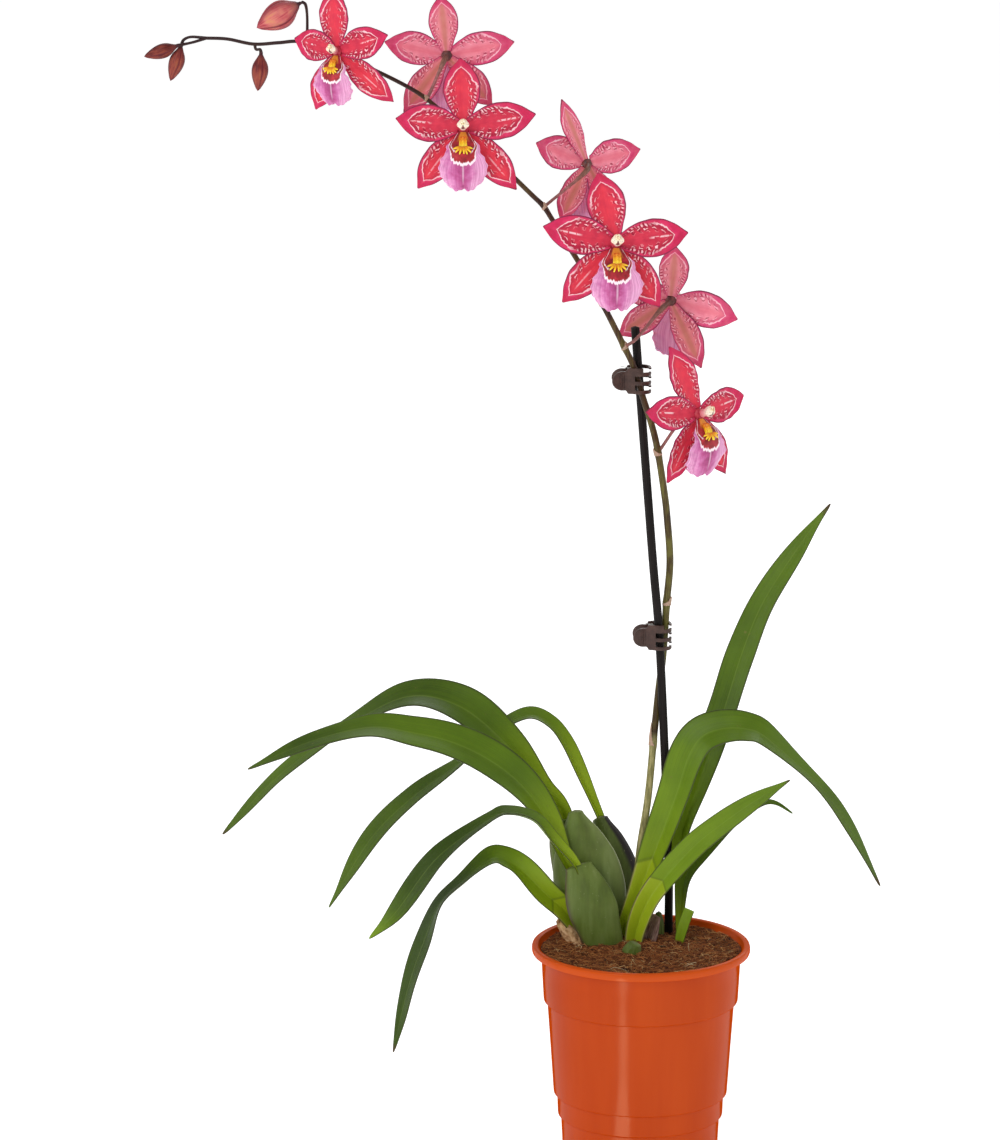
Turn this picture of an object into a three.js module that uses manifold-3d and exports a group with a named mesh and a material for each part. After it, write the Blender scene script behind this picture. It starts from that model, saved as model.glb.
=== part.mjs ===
// A potted orchid of the odontoglossum kind, 0.66 m tall: a nursery pot filled with coco fibre, a clump of
// flattened pseudobulbs with strap leaves, and one arching flower spike clipped to a stake.
// Millimetres, +Z up. The origin is the centre of the pot's underside, and -Y is the side that is looked at.
import * as THREE from "three";
import { mergeVertices } from "three/addons/utils/BufferGeometryUtils.js";
import Module from "manifold-3d";

const wasm = await Module();
wasm.setup();

// Driving dimensions
const GAP = 0.3; // left between two pieces that touch
const POT_HEIGHT = 125;
const RIM_RADIUS = 60;
const RIM_HEIGHT = 4.8; // the rolled bead round the mouth
const RIM_WIDTH = 3.8;
const WALL = 1.2;
const FLOOR = 1.6;
const BASE_RADIUS = 42.4;
const STEPS = [
  { z: 27, below: 43.8, above: 45.5 },
  { z: 39.5, below: 46, above: 47.9 },
  { z: 92.5, below: 51.5, above: 53.5 },
];
const NECK_RADIUS = 54.9; // of the wall just under the rim
const STEP_HEIGHT = 1.2;
const DRAIN_HOLES = 6;
const DRAIN_RADIUS = 3.5;
const DRAIN_CIRCLE = 28;
const FILL_HEIGHT = 119.5; // of the fibre along the pot's wall
const FILL_CROWN = 3.5; // how much higher it lies round the bulbs
const STAKE_RADIUS = 2.35;
const STEM_RADII = [2.3, 2.0, 2.0, 1.75, 1.4, 1.1, 0.9]; // of the spike, from the soil to its tip
const HUB_RADIUS = 3.2; // the middle of a bloom, which its tepals grow from
const TEPAL_THICKNESS = 0.9;

const ROUND = 2 * Math.PI;
const DEG = Math.PI / 180;
const v3 = (x, y, z) => new THREE.Vector3(x, y, z);

// Each finish is one material.
const finish = (color, roughness, metalness = 0) =>
  new THREE.MeshStandardMaterial({ color, roughness, metalness });
const TERRACOTTA_PLASTIC = finish("#c2501f", 0.35);
const COCO_FIBRE = finish("#5a341d", 0.95);
const BULB_GREEN = finish("#556330", 0.5);
const BULB_DARK = finish("#33301f", 0.5);
const DRY_HUSK = finish("#b08a58", 0.85);
const MAUVE_HUSK = finish("#7a5f55", 0.85);
const LEAF_GREEN = finish("#4f7426", 0.4);
const STEM_OLIVE = finish("#5b4a24", 0.5);
const BUD_MAROON = finish("#974437", 0.55);
const CRIMSON_PETAL = finish("#d83a52", 0.6);
const PINK_LIP = finish("#d77fb4", 0.6);
const YELLOW_CREST = finish("#ecb324", 0.5);
const CREAM_COLUMN = finish("#efd9cc", 0.5);
const CHARCOAL_STAKE = finish("#332d2e", 0.6);
const BROWN_CLIP = finish("#463630", 0.4);

// A closed geometry as a solid, and a solid as a geometry.
function solidOf(geometry) {
  const bare = geometry.clone();
  bare.deleteAttribute("normal");
  bare.deleteAttribute("uv");
  const merged = mergeVertices(bare, 1e-4);
  return new wasm.Manifold(
    new wasm.Mesh({
      numProp: 3,
      vertProperties: new Float32Array(merged.attributes.position.array),
      triVerts: new Uint32Array(merged.index.array),
    }),
  );
}

function geometryOf(solid) {
  const mesh = solid.getMesh();
  const geometry = new THREE.BufferGeometry();
  geometry.setAttribute("position", new THREE.BufferAttribute(mesh.vertProperties, 3));
  geometry.setIndex(new THREE.BufferAttribute(mesh.triVerts, 1));
  return geometry;
}

// A solid from its corners and triangles, turned right side out.
function closed(points, triangles) {
  const vertProperties = new Float32Array(points.flatMap((p) => [p.x, p.y, p.z]));
  const make = (t) =>
    new wasm.Manifold(new wasm.Mesh({ numProp: 3, vertProperties, triVerts: new Uint32Array(t) }));
  const made = make(triangles);
  return made.volume() > 0 ? made : make([...triangles].reverse());
}

const joined = (solids) => solids.reduce((a, b) => a.add(b));
const without = (solid, cutters) => cutters.reduce((a, b) => a.subtract(b), solid);

// The largest body of a solid, for a piece that a cut leaves scraps of, or that closes round a void.
function largest(solid) {
  return solid.decompose().reduce((a, b) => (a.volume() > b.volume() ? a : b));
}

// A value that runs smoothly through evenly spaced ones, at v from 0 to 1.
function through(values, v) {
  const last = values.length - 1;
  const i = Math.min(Math.floor(v * last), last - 1);
  const t = v * last - i;
  const at = (k) => values[Math.max(0, Math.min(last, k))];
  const slope0 = (at(i + 1) - at(i - 1)) / 2;
  const slope1 = (at(i + 2) - at(i)) / 2;
  const t2 = t * t;
  const t3 = t2 * t;
  return (
    (2 * t3 - 3 * t2 + 1) * at(i) +
    (t3 - 2 * t2 + t) * slope0 +
    (3 * t2 - 2 * t3) * at(i + 1) +
    (t3 - t2) * slope1
  );
}

const curveOf = (points) =>
  new THREE.CatmullRomCurve3(points.map((p) => v3(...p)), false, "catmullrom", 0.5);

// A thin blade round a grid of points in its middle, split alike on both faces.
function blade(grid, thickness) {
  const rows = grid.length;
  const cols = grid[0].length;
  const at = (i, j) => grid[Math.max(0, Math.min(rows - 1, i))][Math.max(0, Math.min(cols - 1, j))];
  const upper = [];
  const lower = [];
  for (let i = 0; i < rows; i++)
    for (let j = 0; j < cols; j++) {
      const along = at(i + 1, j).clone().sub(at(i - 1, j));
      const across = at(i, j + 1).clone().sub(at(i, j - 1));
      const normal = across.cross(along).normalize();
      const half = thickness(i / (rows - 1), (2 * j) / (cols - 1) - 1) / 2;
      upper.push(at(i, j).clone().addScaledVector(normal, half));
      lower.push(at(i, j).clone().addScaledVector(normal, -half));
    }
  const count = rows * cols;
  const triangles = [];
  const id = (i, j) => i * cols + j;
  for (let i = 0; i + 1 < rows; i++)
    for (let j = 0; j + 1 < cols; j++) {
      const [a, b, c, d] = [id(i, j), id(i, j + 1), id(i + 1, j + 1), id(i + 1, j)];
      triangles.push(a, b, c, a, c, d);
      triangles.push(count + a, count + c, count + b, count + a, count + d, count + c);
    }
  const wall = (a, b) => triangles.push(a, count + a, count + b, a, count + b, b);
  for (let j = 0; j + 1 < cols; j++) {
    wall(id(0, j), id(0, j + 1));
    wall(id(rows - 1, j + 1), id(rows - 1, j));
  }
  for (let i = 0; i + 1 < rows; i++) {
    wall(id(i + 1, 0), id(i, 0));
    wall(id(i, cols - 1), id(i + 1, cols - 1));
  }
  return closed([...upper, ...lower], triangles);
}

// A closed body through rings of corners, with a point at each end.
function loft(rings, start, end) {
  const sides = rings[0].length;
  const points = [...rings.flat(), start, end];
  const first = rings.length * sides;
  const triangles = [];
  for (let k = 0; k < sides; k++) {
    const next = (k + 1) % sides;
    triangles.push(first, k, next);
    for (let i = 0; i + 1 < rings.length; i++) {
      const [a, b] = [i * sides + k, i * sides + next];
      triangles.push(a, a + sides, b, b, a + sides, b + sides);
    }
    const top = (rings.length - 1) * sides;
    triangles.push(first + 1, top + next, top + k);
  }
  return closed(points, triangles);
}

// A stem along a route, its radius given from one end to the other.
function stem(route, radii, sides, steps, grow = 0) {
  const curve = curveOf(route);
  const frames = curve.computeFrenetFrames(steps, false);
  const rings = [];
  for (let i = 0; i <= steps; i++) {
    const middle = curve.getPointAt(i / steps);
    const r = through(radii, i / steps) + grow;
    rings.push(
      Array.from({ length: sides }, (_, k) =>
        middle
          .clone()
          .addScaledVector(frames.normals[i], r * Math.cos((k * ROUND) / sides))
          .addScaledVector(frames.binormals[i], r * Math.sin((k * ROUND) / sides)),
      ),
    );
  }
  const dome = 0.3 * radii[0] + grow;
  return loft(
    rings,
    curve.getPointAt(0).addScaledVector(curve.getTangentAt(0), -dome),
    curve.getPointAt(1).addScaledVector(curve.getTangentAt(1), dome),
  );
}

const group = new THREE.Group();
function add(name, solid, material) {
  const mesh = new THREE.Mesh(geometryOf(solid), material);
  mesh.name = name;
  group.add(mesh);
}

// The pot: injection-moulded, with three steps in its side, a rolled rim and round drain holes.
const wallOutline = [
  [BASE_RADIUS, 0],
  ...STEPS.flatMap((s) => [
    [s.below, s.z],
    [s.above, s.z + STEP_HEIGHT],
  ]),
  [NECK_RADIUS, POT_HEIGHT - RIM_HEIGHT],
];
const innerRim = RIM_RADIUS - RIM_WIDTH;
const innerOutline = [
  [NECK_RADIUS - WALL, POT_HEIGHT - RIM_HEIGHT],
  ...[...STEPS].reverse().map((s) => [s.below - WALL, s.z]),
];
const potProfile = [
  [0, 0],
  ...wallOutline,
  [RIM_RADIUS, POT_HEIGHT - RIM_HEIGHT + 0.4],
  [RIM_RADIUS, POT_HEIGHT - 1.2],
  [RIM_RADIUS - 0.9, POT_HEIGHT],
  [innerRim + 0.9, POT_HEIGHT],
  [innerRim, POT_HEIGHT - 1.2],
  ...innerOutline,
  [BASE_RADIUS - WALL, FLOOR],
  [0, FLOOR],
];
const POT_SIDES = 32;
// A lathe turns about Y, so its work is stood up on Z.
const turned = (profile, sides) =>
  solidOf(
    new THREE.LatheGeometry(
      profile.map(([r, z]) => new THREE.Vector2(r, z)),
      sides,
    ).rotateX(Math.PI / 2),
  );
let pot = turned(potProfile, POT_SIDES);
for (let i = 0; i < DRAIN_HOLES; i++) {
  const hole = new THREE.CylinderGeometry(DRAIN_RADIUS, DRAIN_RADIUS, 4 * FLOOR, 10);
  hole.rotateX(Math.PI / 2);
  const angle = ((i + 0.5) * ROUND) / DRAIN_HOLES;
  hole.translate(DRAIN_CIRCLE * Math.cos(angle), DRAIN_CIRCLE * Math.sin(angle), FLOOR / 2);
  pot = pot.subtract(solidOf(hole));
}
add("pot", pot, TERRACOTTA_PLASTIC);

// Pseudobulbs: flattened, ribbed bodies that lean out of the fibre. at and top are the ends of the axis,
// widths and depths the half sizes along it, and ribs the share that the ribs stand out.
const BULBS = {
  bulb_front: {
    at: [-17.5, 9.5, 114],
    top: [-34.5, 9.5, 166.5],
    widths: [9, 11, 12.3, 13.6, 12.8, 10.2, 7],
    depths: [4, 5.6, 6, 5.8, 5, 4, 2.6],
    color: BULB_GREEN,
  },
  bulb_tall: {
    at: [-21, 26, 114],
    top: [-36, 25, 193],
    widths: [10, 15, 18.7, 19.6, 17.4, 11.8, 4.4],
    depths: [5, 7.2, 8, 8, 7, 5.4, 3],
    color: BULB_GREEN,
  },
  bulb_left: {
    at: [-29, 35, 114],
    top: [-45, 31, 186],
    widths: [4, 6, 8.5, 9.8, 9.5, 8, 4.6],
    depths: [3, 4, 5, 5, 4.6, 3.6, 2.4],
    color: BULB_GREEN,
  },
  bulb_back: {
    at: [2, 44, 114],
    top: [-22, 45, 184],
    widths: [6, 9, 10.5, 11.5, 11, 8.5, 4.2],
    depths: [3.6, 5, 5.6, 5.6, 5, 4.2, 2.8],
    color: BULB_DARK,
  },
  bulb_stub_back: {
    at: [9.6, 28.5, 115],
    top: [10.5, 28.5, 134],
    widths: [2.4, 3.4, 3.6, 3.6, 3.2, 2.6, 1.6],
    depths: [2, 2.6, 2.8, 2.8, 2.6, 2, 1.4],
    color: BULB_GREEN,
  },
  bulb_cut_front: {
    at: [-7.5, -6, 117],
    top: [-3.5, -8, 127],
    widths: [3, 4.4, 5, 5.2, 5, 4.4, 3.6],
    depths: [2.4, 3.4, 4, 4.2, 4, 3.6, 3],
    color: BULB_GREEN,
  },
  bulb_dry_left: {
    at: [-33, 9, 120],
    top: [-45, 24, 131],
    widths: [2, 3.2, 4, 4.2, 3.8, 3, 1.8],
    depths: [1.8, 2.6, 3.2, 3.4, 3, 2.4, 1.6],
    color: DRY_HUSK,
  },
};
const BULB_SIDES = 12;
function bulb({ at, top, widths, depths }, grow = 0) {
  const start = v3(...at);
  const axis = v3(...top).sub(start);
  const length = axis.length();
  axis.normalize();
  const side = v3(1, 0, 0).addScaledVector(axis, -axis.x).normalize();
  const front = axis.clone().cross(side);
  const rings = widths.map((width, i) =>
    Array.from({ length: BULB_SIDES }, (_, k) => {
      const angle = (k * ROUND) / BULB_SIDES;
      const rib = k % 2 ? 0.94 : 1;
      return start
        .clone()
        .addScaledVector(axis, (length * i) / (widths.length - 1))
        .addScaledVector(side, (rib * width + grow) * Math.cos(angle))
        .addScaledVector(front, (rib * depths[i] + grow) * Math.sin(angle));
    }),
  );
  const cap = 1.2 + grow;
  return loft(
    rings,
    start.clone().addScaledVector(axis, -cap),
    start.clone().addScaledVector(axis, length + cap),
  );
}
const bulbNames = Object.keys(BULBS);
const bulbs = {};
for (const name of bulbNames)
  bulbs[name] = largest(
    without(
      bulb(BULBS[name]),
      Object.keys(bulbs).map((other) => bulb(BULBS[other], GAP)),
    ),
  );

// Leaves: straps folded along the midrib. The route runs from the base to the tip, width is the widest,
// shares and turns run along it, and a turn of 0 shows the face while 90 shows the edge.
const STRAP = [0.5, 0.62, 0.84, 1, 1, 0.88, 0.6, 0.09];
const FOLDS = [52, 38, 24, 17, 14, 12, 10];
const LEAVES = {
  leaf_upper_left: {
    route: [[-36, 30, 178], [-44, 32, 195], [-54, 34, 205], [-71, 37, 228], [-97, 41, 250],
      [-125, 46, 256], [-153, 49, 243], [-198, 50, 210], [-232, 47, 174]],
    width: 27,
    shares: [0.42, 0.62, 0.88, 1, 0.9, 0.62, 0.55, 0.42, 0.07],
    turns: [-25, -30, -42, -68, -75, -66, -50],
  },
  leaf_mid_left: {
    route: [[-33, 16, 154], [-41, 16, 170], [-50, 15, 192], [-64, 14, 212], [-83, 14, 227],
      [-104, 14, 237], [-125, 14, 242], [-149, 14, 245], [-181, 12, 237], [-216, 10, 221]],
    width: 24,
    shares: [0.4, 0.62, 0.9, 1, 1, 0.9, 0.75, 0.5, 0.08],
    turns: [-30, -34, -38, -48, -62, -66, -55],
  },
  leaf_rear_left: {
    route: [[-21, 44, 184], [-31, 46, 208], [-40, 49, 227], [-49, 52, 238], [-62, 56, 242],
      [-80, 58, 232], [-99, 56, 215], [-127, 52, 195], [-150, 48, 172], [-173, 42, 133]],
    width: 19,
    shares: [0.42, 0.6, 0.72, 0.75, 0.8, 0.95, 1, 0.7, 0.07],
    turns: [-35, -48, -74, -82, -68, -60, -50],
  },
  leaf_low_left: {
    route: [[-31, 9, 158], [-36, 6, 170], [-47, 3, 184], [-55, 0, 195], [-62, -3, 200], [-72, -7, 203],
      [-82, -11, 201], [-112, -19, 180], [-135, -24, 149], [-149, -26, 135]],
    width: 17,
    shares: [0.4, 0.55, 0.7, 0.85, 1, 1, 0.95, 0.7, 0.12],
    turns: [-35, -60, -82, -82, -58, -46, -38],
  },
  leaf_drooping_left: {
    route: [[-31, 18, 125], [-42, 15.5, 140], [-52, 14, 150], [-65, 10, 166], [-75, 6, 173],
      [-84, 2, 174], [-99, -5, 163], [-112, -10, 151], [-120, -15, 131], [-128, -20, 107],
      [-136, -25, 70]],
    width: 18,
    shares: [1, 0.98, 0.98, 1, 0.95, 0.95, 0.85, 0.6, 0.07],
    turns: [-12, -24, -62, -84, -64, -55, -45],
  },
  leaf_tall_right: {
    route: [[21.5, 29, 117], [21.6, 27.5, 150], [21, 27, 179], [30.8, 30, 209.5], [44.8, 36, 248.5],
      [55, 41, 279.5], [67, 45, 307.5], [87.5, 48, 339], [104, 48, 362]],
    width: 21,
    shares: [0.24, 0.4, 0.75, 1, 1, 0.95, 0.8, 0.55, 0.07],
    turns: [40, 40, 42, 42, 40, 35, 30],
  },
  leaf_arching_right: {
    route: [[-12, 16, 121], [-8.5, 15.5, 133], [-3, 14, 147], [6, 14, 173], [17, 14.5, 205],
      [24, 15, 227], [32, 16, 239], [45, 16, 244], [59, 14, 244], [70, 12, 239], [97, 7, 214],
      [114, 3, 191], [131, -2, 158]],
    width: 24,
    shares: [0.45, 0.66, 0.86, 1, 1, 0.85, 0.62, 0.48, 0.07],
    turns: [15, 25, 38, 44, 70, 68, 55],
  },
  leaf_low_right: {
    route: [[-4.5, 7, 117], [-3, 7, 130], [3, 6, 147], [13, 4, 162], [27, 0, 179],
      [39, -5, 191], [58, -12, 207], [80, -20, 223]],
    width: 15,
    shares: [1, 1.05, 1, 1, 0.98, 0.88, 0.6, 0.08],
    turns: [8, 18, 28, 30, 35, 40, 45],
  },
  leaf_back_right: {
    route: [[21.5, 22, 117], [22, 22, 143], [24, 21, 158], [31, 19, 170], [47, 14, 188],
      [64, 10, 201], [73, 8, 203], [83, 6, 197]],
    width: 13,
    shares: [0.4, 0.6, 0.85, 1, 0.9, 0.6, 0.3, 0.08],
    turns: [30, 35, 40, 40, 45, 55, 60],
  },
  leaf_stub: {
    route: [[20.5, 13, 117], [21.8, 13.5, 124], [24, 14, 132], [27, 15, 140]],
    width: 6.4,
    shares: [0.9, 1, 1],
    turns: [20, 20, 20],
  },
};
const LEAF_MIDRIB = 1.7; // thickness
const LEAF_MARGIN = 0.7;
const LEAF_ROWS = 16;
const ACROSS = [-1, 0, 1]; // the two margins and the midrib
function leaf({ route, width, shares, turns }, grow = 0) {
  const curve = curveOf(route);
  const rows = Math.min(LEAF_ROWS, 2 * route.length);
  const grid = [];
  for (let i = 0; i < rows; i++) {
    const v = i / (rows - 1);
    const along = curve.getTangentAt(v);
    const depth = v3(0, 1, 0).addScaledVector(along, -along.y).normalize();
    const height = along.clone().cross(depth);
    const turn = through(turns, v) * DEG;
    const side = height.multiplyScalar(Math.cos(turn)).addScaledVector(depth, Math.sin(turn));
    const face = along.clone().cross(side);
    const bare = (width / 2) * through(shares, v);
    const half = bare + grow;
    const fold = through(FOLDS, v) * DEG;
    const end = i === 0 ? -grow : 0;
    grid.push(
      ACROSS.map((u) =>
        curve
          .getPointAt(v)
          .addScaledVector(along, end)
          .addScaledVector(side, u * half * Math.cos(fold))
          .addScaledVector(face, (Math.abs(u) * half - bare) * Math.sin(fold)),
      ),
    );
  }
  return blade(
    grid,
    (v, u) => 2 * grow + LEAF_MARGIN + (LEAF_MIDRIB - LEAF_MARGIN) * (1 - Math.abs(u)) * (1 - 0.4 * v),
  );
}

// The spike: the soil, the two clips and the blooms set its route. It leans behind the stake at the lower
// clip and in front of it at the upper one, and ends in a fork with the last buds.
const STAKE_ROUTE = [[15.8, 32.5, 20], [16.2, 34.5, 122], [15.5, 31, 173], [10.2, 25, 284],
  [5.3, 21, 342], [-4.8, 13, 467]];
const SPIKE_ROUTE = [[-2, 20, 116], [-2, 20.5, 139], [-0.5, 21, 170], [4, 24, 201],
  [7.3, 28.6, 236], [9.8, 31.2, 261], [11.8, 29.8, 279], [12.9, 28, 296.5], [13.7, 26.2, 312], [15.2, 23, 335],
  [13.3, 19.5, 361], [11.6, 17.5, 375], [8.1, 14.5, 397], [5, 12.8, 411], [-0.3, 10.8, 428],
  [-2.9, 10.2, 437], [-5.8, 9.8, 446], [-10.6, 9.6, 456], [-19.5, 9, 474], [-29, 8, 492],
  [-49, 5, 525], [-54, 4.5, 533], [-60, 4, 539], [-68, 3, 547], [-88, 1, 567],
  [-112, -1, 588], [-126, -2, 598], [-152, -3, 611], [-168, -4, 617], [-183, -4, 622.5],
  [-195, -4, 622], [-208, -4, 621.3], [-222, -4, 624], [-234, -4, 624.5]];
const TWIGS = [
  { route: [[-233, -4, 624.5], [-241, -3, 625], [-245, -3, 623.5], [-246.2, -3, 621]], radii: [0.9, 0.8, 0.8] },
  { route: [[-233, -4, 624.5], [-240, -5, 622.4], [-247.5, -6, 620.9]], radii: [0.9, 0.8, 0.8] },
  {
    route: [[-180, -4, 621.5], [-179.6, -4, 628], [-179.6, -4, 637], [-180.5, -4, 642.5],
      [-182.6, -4, 643.6]],
    radii: [0.9, 0.8, 0.9],
  },
  { route: [[-207.5, -4, 621.5], [-206.8, -4.5, 618.6], [-204.6, -5, 618.6], [-204.2, -5, 617.2]], radii: [0.8, 0.8, 0.8] },
];

// Buds: closed sepals, three-sided in section, from the end of a twig to a pointed tip.
const BUDS = {
  bud_large: { at: [-183.6, -4, 642.8], tip: [-205.5, -5, 630.5], radius: 7.4 },
  bud_hanging: { at: [-204.1, -5, 616.6], tip: [-206, -6, 596.5], radius: 4.4 },
  bud_end_low: { at: [-246.4, -3, 620.4], tip: [-252.4, -3, 601.5], radius: 4.1 },
  bud_end: { at: [-248.1, -6, 620.75], tip: [-266, -7, 615], radius: 3.9 },
};
const BUD_SHAPE = [0.3, 0.74, 0.96, 1, 0.86, 0.58, 0.24];
const BUD_SIDES = 9;
function bud({ at, tip, radius }) {
  const start = v3(...at);
  const axis = v3(...tip).sub(start);
  const length = axis.length();
  axis.normalize();
  const side = v3(0, 1, 0).addScaledVector(axis, -axis.y).normalize();
  const other = axis.clone().cross(side);
  const rings = BUD_SHAPE.map((share, i) =>
    Array.from({ length: BUD_SIDES }, (_, k) => {
      const angle = (k * ROUND) / BUD_SIDES;
      const r = radius * share * (1 + 0.07 * Math.cos(3 * angle));
      return start
        .clone()
        .addScaledVector(axis, (length * (i + 0.3)) / BUD_SHAPE.length)
        .addScaledVector(side, r * Math.cos(angle))
        .addScaledVector(other, r * Math.sin(angle));
    }),
  );
  return loft(rings, start, v3(...tip));
}

// Blooms: five tepals round a hub, a lip that hangs in front of the lower two, its crest, and the column.
// hub is the place, yaw turns the bloom about the vertical (0 faces -Y, 180 faces away), node is where its
// stalk leaves the spike, via what the stalk passes, and each tepal has its angle from up, its length, its
// width and how far it leans forward.
const BLOOMS = {
  1: {
    hub: [-163, -24, 620], yaw: -22, size: 0.84, node: [-161, -3.5, 614],
    tepals: [[-9, 33, 17, -6], [-77, 25, 17, 4], [71, 31, 17, 4], [-156, 35, 15, -2], [130, 40, 15, -2]],
  },
  2: {
    hub: [-106, 14, 613], yaw: 176, size: 0.92, node: [-116, -0.5, 592],
    tepals: [[5, 33, 16, -4], [78, 34, 18, 2], [-78, 37, 18, 2], [143, 38, 16, 0], [-137, 36, 16, 0]],
  },
  3: {
    hub: [-97, -24, 580], yaw: 0, size: 1, node: [-92, 0.5, 571],
    tepals: [[-2, 36, 20, -4], [-83, 36, 20, 2], [80, 39, 20, 2], [-144, 41, 17, 0], [140, 44, 17, 0]],
  },
  4: {
    hub: [-31, 20, 554], yaw: 202, size: 0.9, node: [-54, 4.5, 533],
    tepals: [[25, 40, 10.5, -4], [66, 32, 18, 2], [-79, 32, 19, 2], [152, 34, 15, 0], [-150, 36, 15, 0]],
  },
  5: {
    hub: [-16, -15, 517], yaw: 4, size: 1.08, node: [-23, 8.6, 481],
    tepals: [[-14, 38, 21, -4], [-77, 40, 21, 2], [83, 39, 21, 2], [-139, 43, 18, 0], [146, 43, 18, 0]],
  },
  6: {
    hub: [15, 29, 478], yaw: 165, size: 0.92, node: [-10.6, 9.6, 456], via: [[-3.8, 6.6, 461.5]],
    tepals: [[-6, 31, 17, -4], [73, 34, 18, 2], [-103, 38, 20, 2], [125, 35, 16, 0], [-154, 40, 16, 0]],
  },
  7: {
    hub: [29, 2, 421], yaw: 38, size: 1, node: [8.1, 14.5, 397],
    tepals: [[-23, 41, 18, -4], [-82, 37, 19, 2], [79, 33, 19, 2], [-152, 41, 16, 0], [149, 42, 16, 0]],
  },
};
const SEPAL_SHAPE = [0.34, 0.6, 0.88, 1, 0.93, 0.6, 0.08];
const PETAL_SHAPE = [0.4, 0.72, 0.95, 1, 0.88, 0.55, 0.08];
const TEPAL_ROWS = 7;
const ROOT = 2.2; // where a tepal starts, inside the hub
const WAVE = 0.55; // how far the margins wave, at half a bloom's length
function tepal([angle, length, width, lean], shape, order) {
  const out = v3(Math.sin(angle * DEG), Math.cos(angle * DEG), 0);
  const side = v3(Math.cos(angle * DEG), -Math.sin(angle * DEG), 0);
  const layer = shape === PETAL_SHAPE ? 0.5 : -0.4;
  const grid = [];
  for (let i = 0; i < TEPAL_ROWS; i++) {
    const v = i / (TEPAL_ROWS - 1);
    const half = (width / 2) * through(shape, v);
    grid.push(
      ACROSS.map((u) => {
        const wave = WAVE * u * u * Math.sin(3.4 * Math.PI * v + 2 * order + (u > 0 ? 1.3 : 0));
        const lift = layer + length * v * Math.tan(lean * DEG) + 0.09 * half * u * u - 1.6 * v * v * v;
        return out
          .clone()
          .multiplyScalar(ROOT + (length - ROOT) * v)
          .addScaledVector(side, half * u)
          .add(v3(0, 0, lift + wave));
      }),
    );
  }
  return blade(grid, (v) => TEPAL_THICKNESS - 0.2 * v);
}

// The lip's middle surface, v from the claw to the frilled end and u across.
const LIP_DROP = [-2.4, -6.2, -9.6, -13, -18, -24, -30, -34.5];
const LIP_REACH = [2.8, 5.8, 8.4, 10.2, 10.8, 10, 7.8, 5.2];
const LIP_HALF = [2.2, 5.4, 8.8, 9, 11.8, 13.2, 12, 7.6];
function lipPoint(u, v) {
  const half = through(LIP_HALF, v);
  const frill = 0.9 * v * v * Math.abs(u) ** 3 * Math.sin(9 * v * Math.PI + (u > 0 ? 1 : 0));
  const notch = v > 0.9 ? 1.6 * Math.exp(-((u / 0.3) ** 2)) : 0;
  return v3(
    half * u,
    through(LIP_DROP, v) + 5.5 * v * v * u * u + notch,
    through(LIP_REACH, v) - (1 + 3.2 * v * v) * u * u + frill,
  );
}
const LIP_THICKNESS = 0.8;
const LIP_ROWS = 8;
const LIP_COLUMNS = [-1, -0.5, 0, 0.5, 1];
const lip = () =>
  blade(
    Array.from({ length: LIP_ROWS }, (_, i) => LIP_COLUMNS.map((u) => lipPoint(u, i / (LIP_ROWS - 1)))),
    () => LIP_THICKNESS,
  );

// The crest: a ridged callus of three keels on the lip's claw.
const CREST_ROWS = 5;
const CREST_COLUMNS = [-1, -0.5, 0, 0.5, 1];
function crest() {
  const reach = { from: 0.1, to: 0.42, half: 2.7 };
  const tall = (v, u) => 0.8 + 1.5 * Math.sin(Math.PI * (0.2 + 0.75 * v)) * Math.abs(Math.cos(Math.PI * u));
  const grid = Array.from({ length: CREST_ROWS }, (_, i) => {
    const v = i / (CREST_ROWS - 1);
    const w = reach.from + (reach.to - reach.from) * v;
    return CREST_COLUMNS.map((u) => {
      const across = (u * reach.half) / through(LIP_HALF, w);
      const here = lipPoint(across, w);
      const onward = lipPoint(across, w + 0.02).sub(here);
      const beside = lipPoint(across + 0.02, w).sub(here);
      const normal = beside.cross(onward).normalize();
      if (normal.z < 0) normal.negate();
      return here.addScaledVector(normal, LIP_THICKNESS / 2 + GAP + tall(v, u) / 2);
    });
  });
  return blade(grid, tall);
}

// The column: a short club that leans forward from the hub, with a hooded end and two small wings.
const COLUMN_ROUTE = [[0, 1, 3.6], [0, 1.7, 6.1], [0, 2.7, 9.1], [0, 3.2, 12.3]];
const COLUMN_RADII = [1.9, 1.6, 1.7, 2.2, 2.5, 1.5];
function column() {
  const wing = (x) => {
    const plate = new THREE.ConeGeometry(2, 3.6, 4);
    plate.scale(0.5, 1, 1);
    plate.rotateZ(-Math.sign(x) * 1.9);
    plate.translate(x, 1.4, 10.2);
    return solidOf(plate);
  };
  return largest(joined([stem(COLUMN_ROUTE, COLUMN_RADII, 6, 5), wing(-2.6), wing(2.6)]));
}

const HUB_DEPTH = 0.85; // of a hub, as a share of its width
const hub = (size) =>
  solidOf(new THREE.SphereGeometry(HUB_RADIUS * size, 8, 5).scale(1, 1, HUB_DEPTH));

// A bloom's own frame: x to its right, y up, z the way it faces.
function placed(solid, { hub: place, yaw, size }, scaled) {
  const turn = yaw * DEG;
  const facing = v3(Math.sin(turn), -Math.cos(turn), 0);
  const right = v3(Math.cos(turn), Math.sin(turn), 0);
  const matrix = new THREE.Matrix4().makeBasis(right, v3(0, 0, 1), facing);
  if (scaled) matrix.scale(v3(size, size, size));
  matrix.setPosition(...place);
  return solid.transform(matrix.elements);
}

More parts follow.
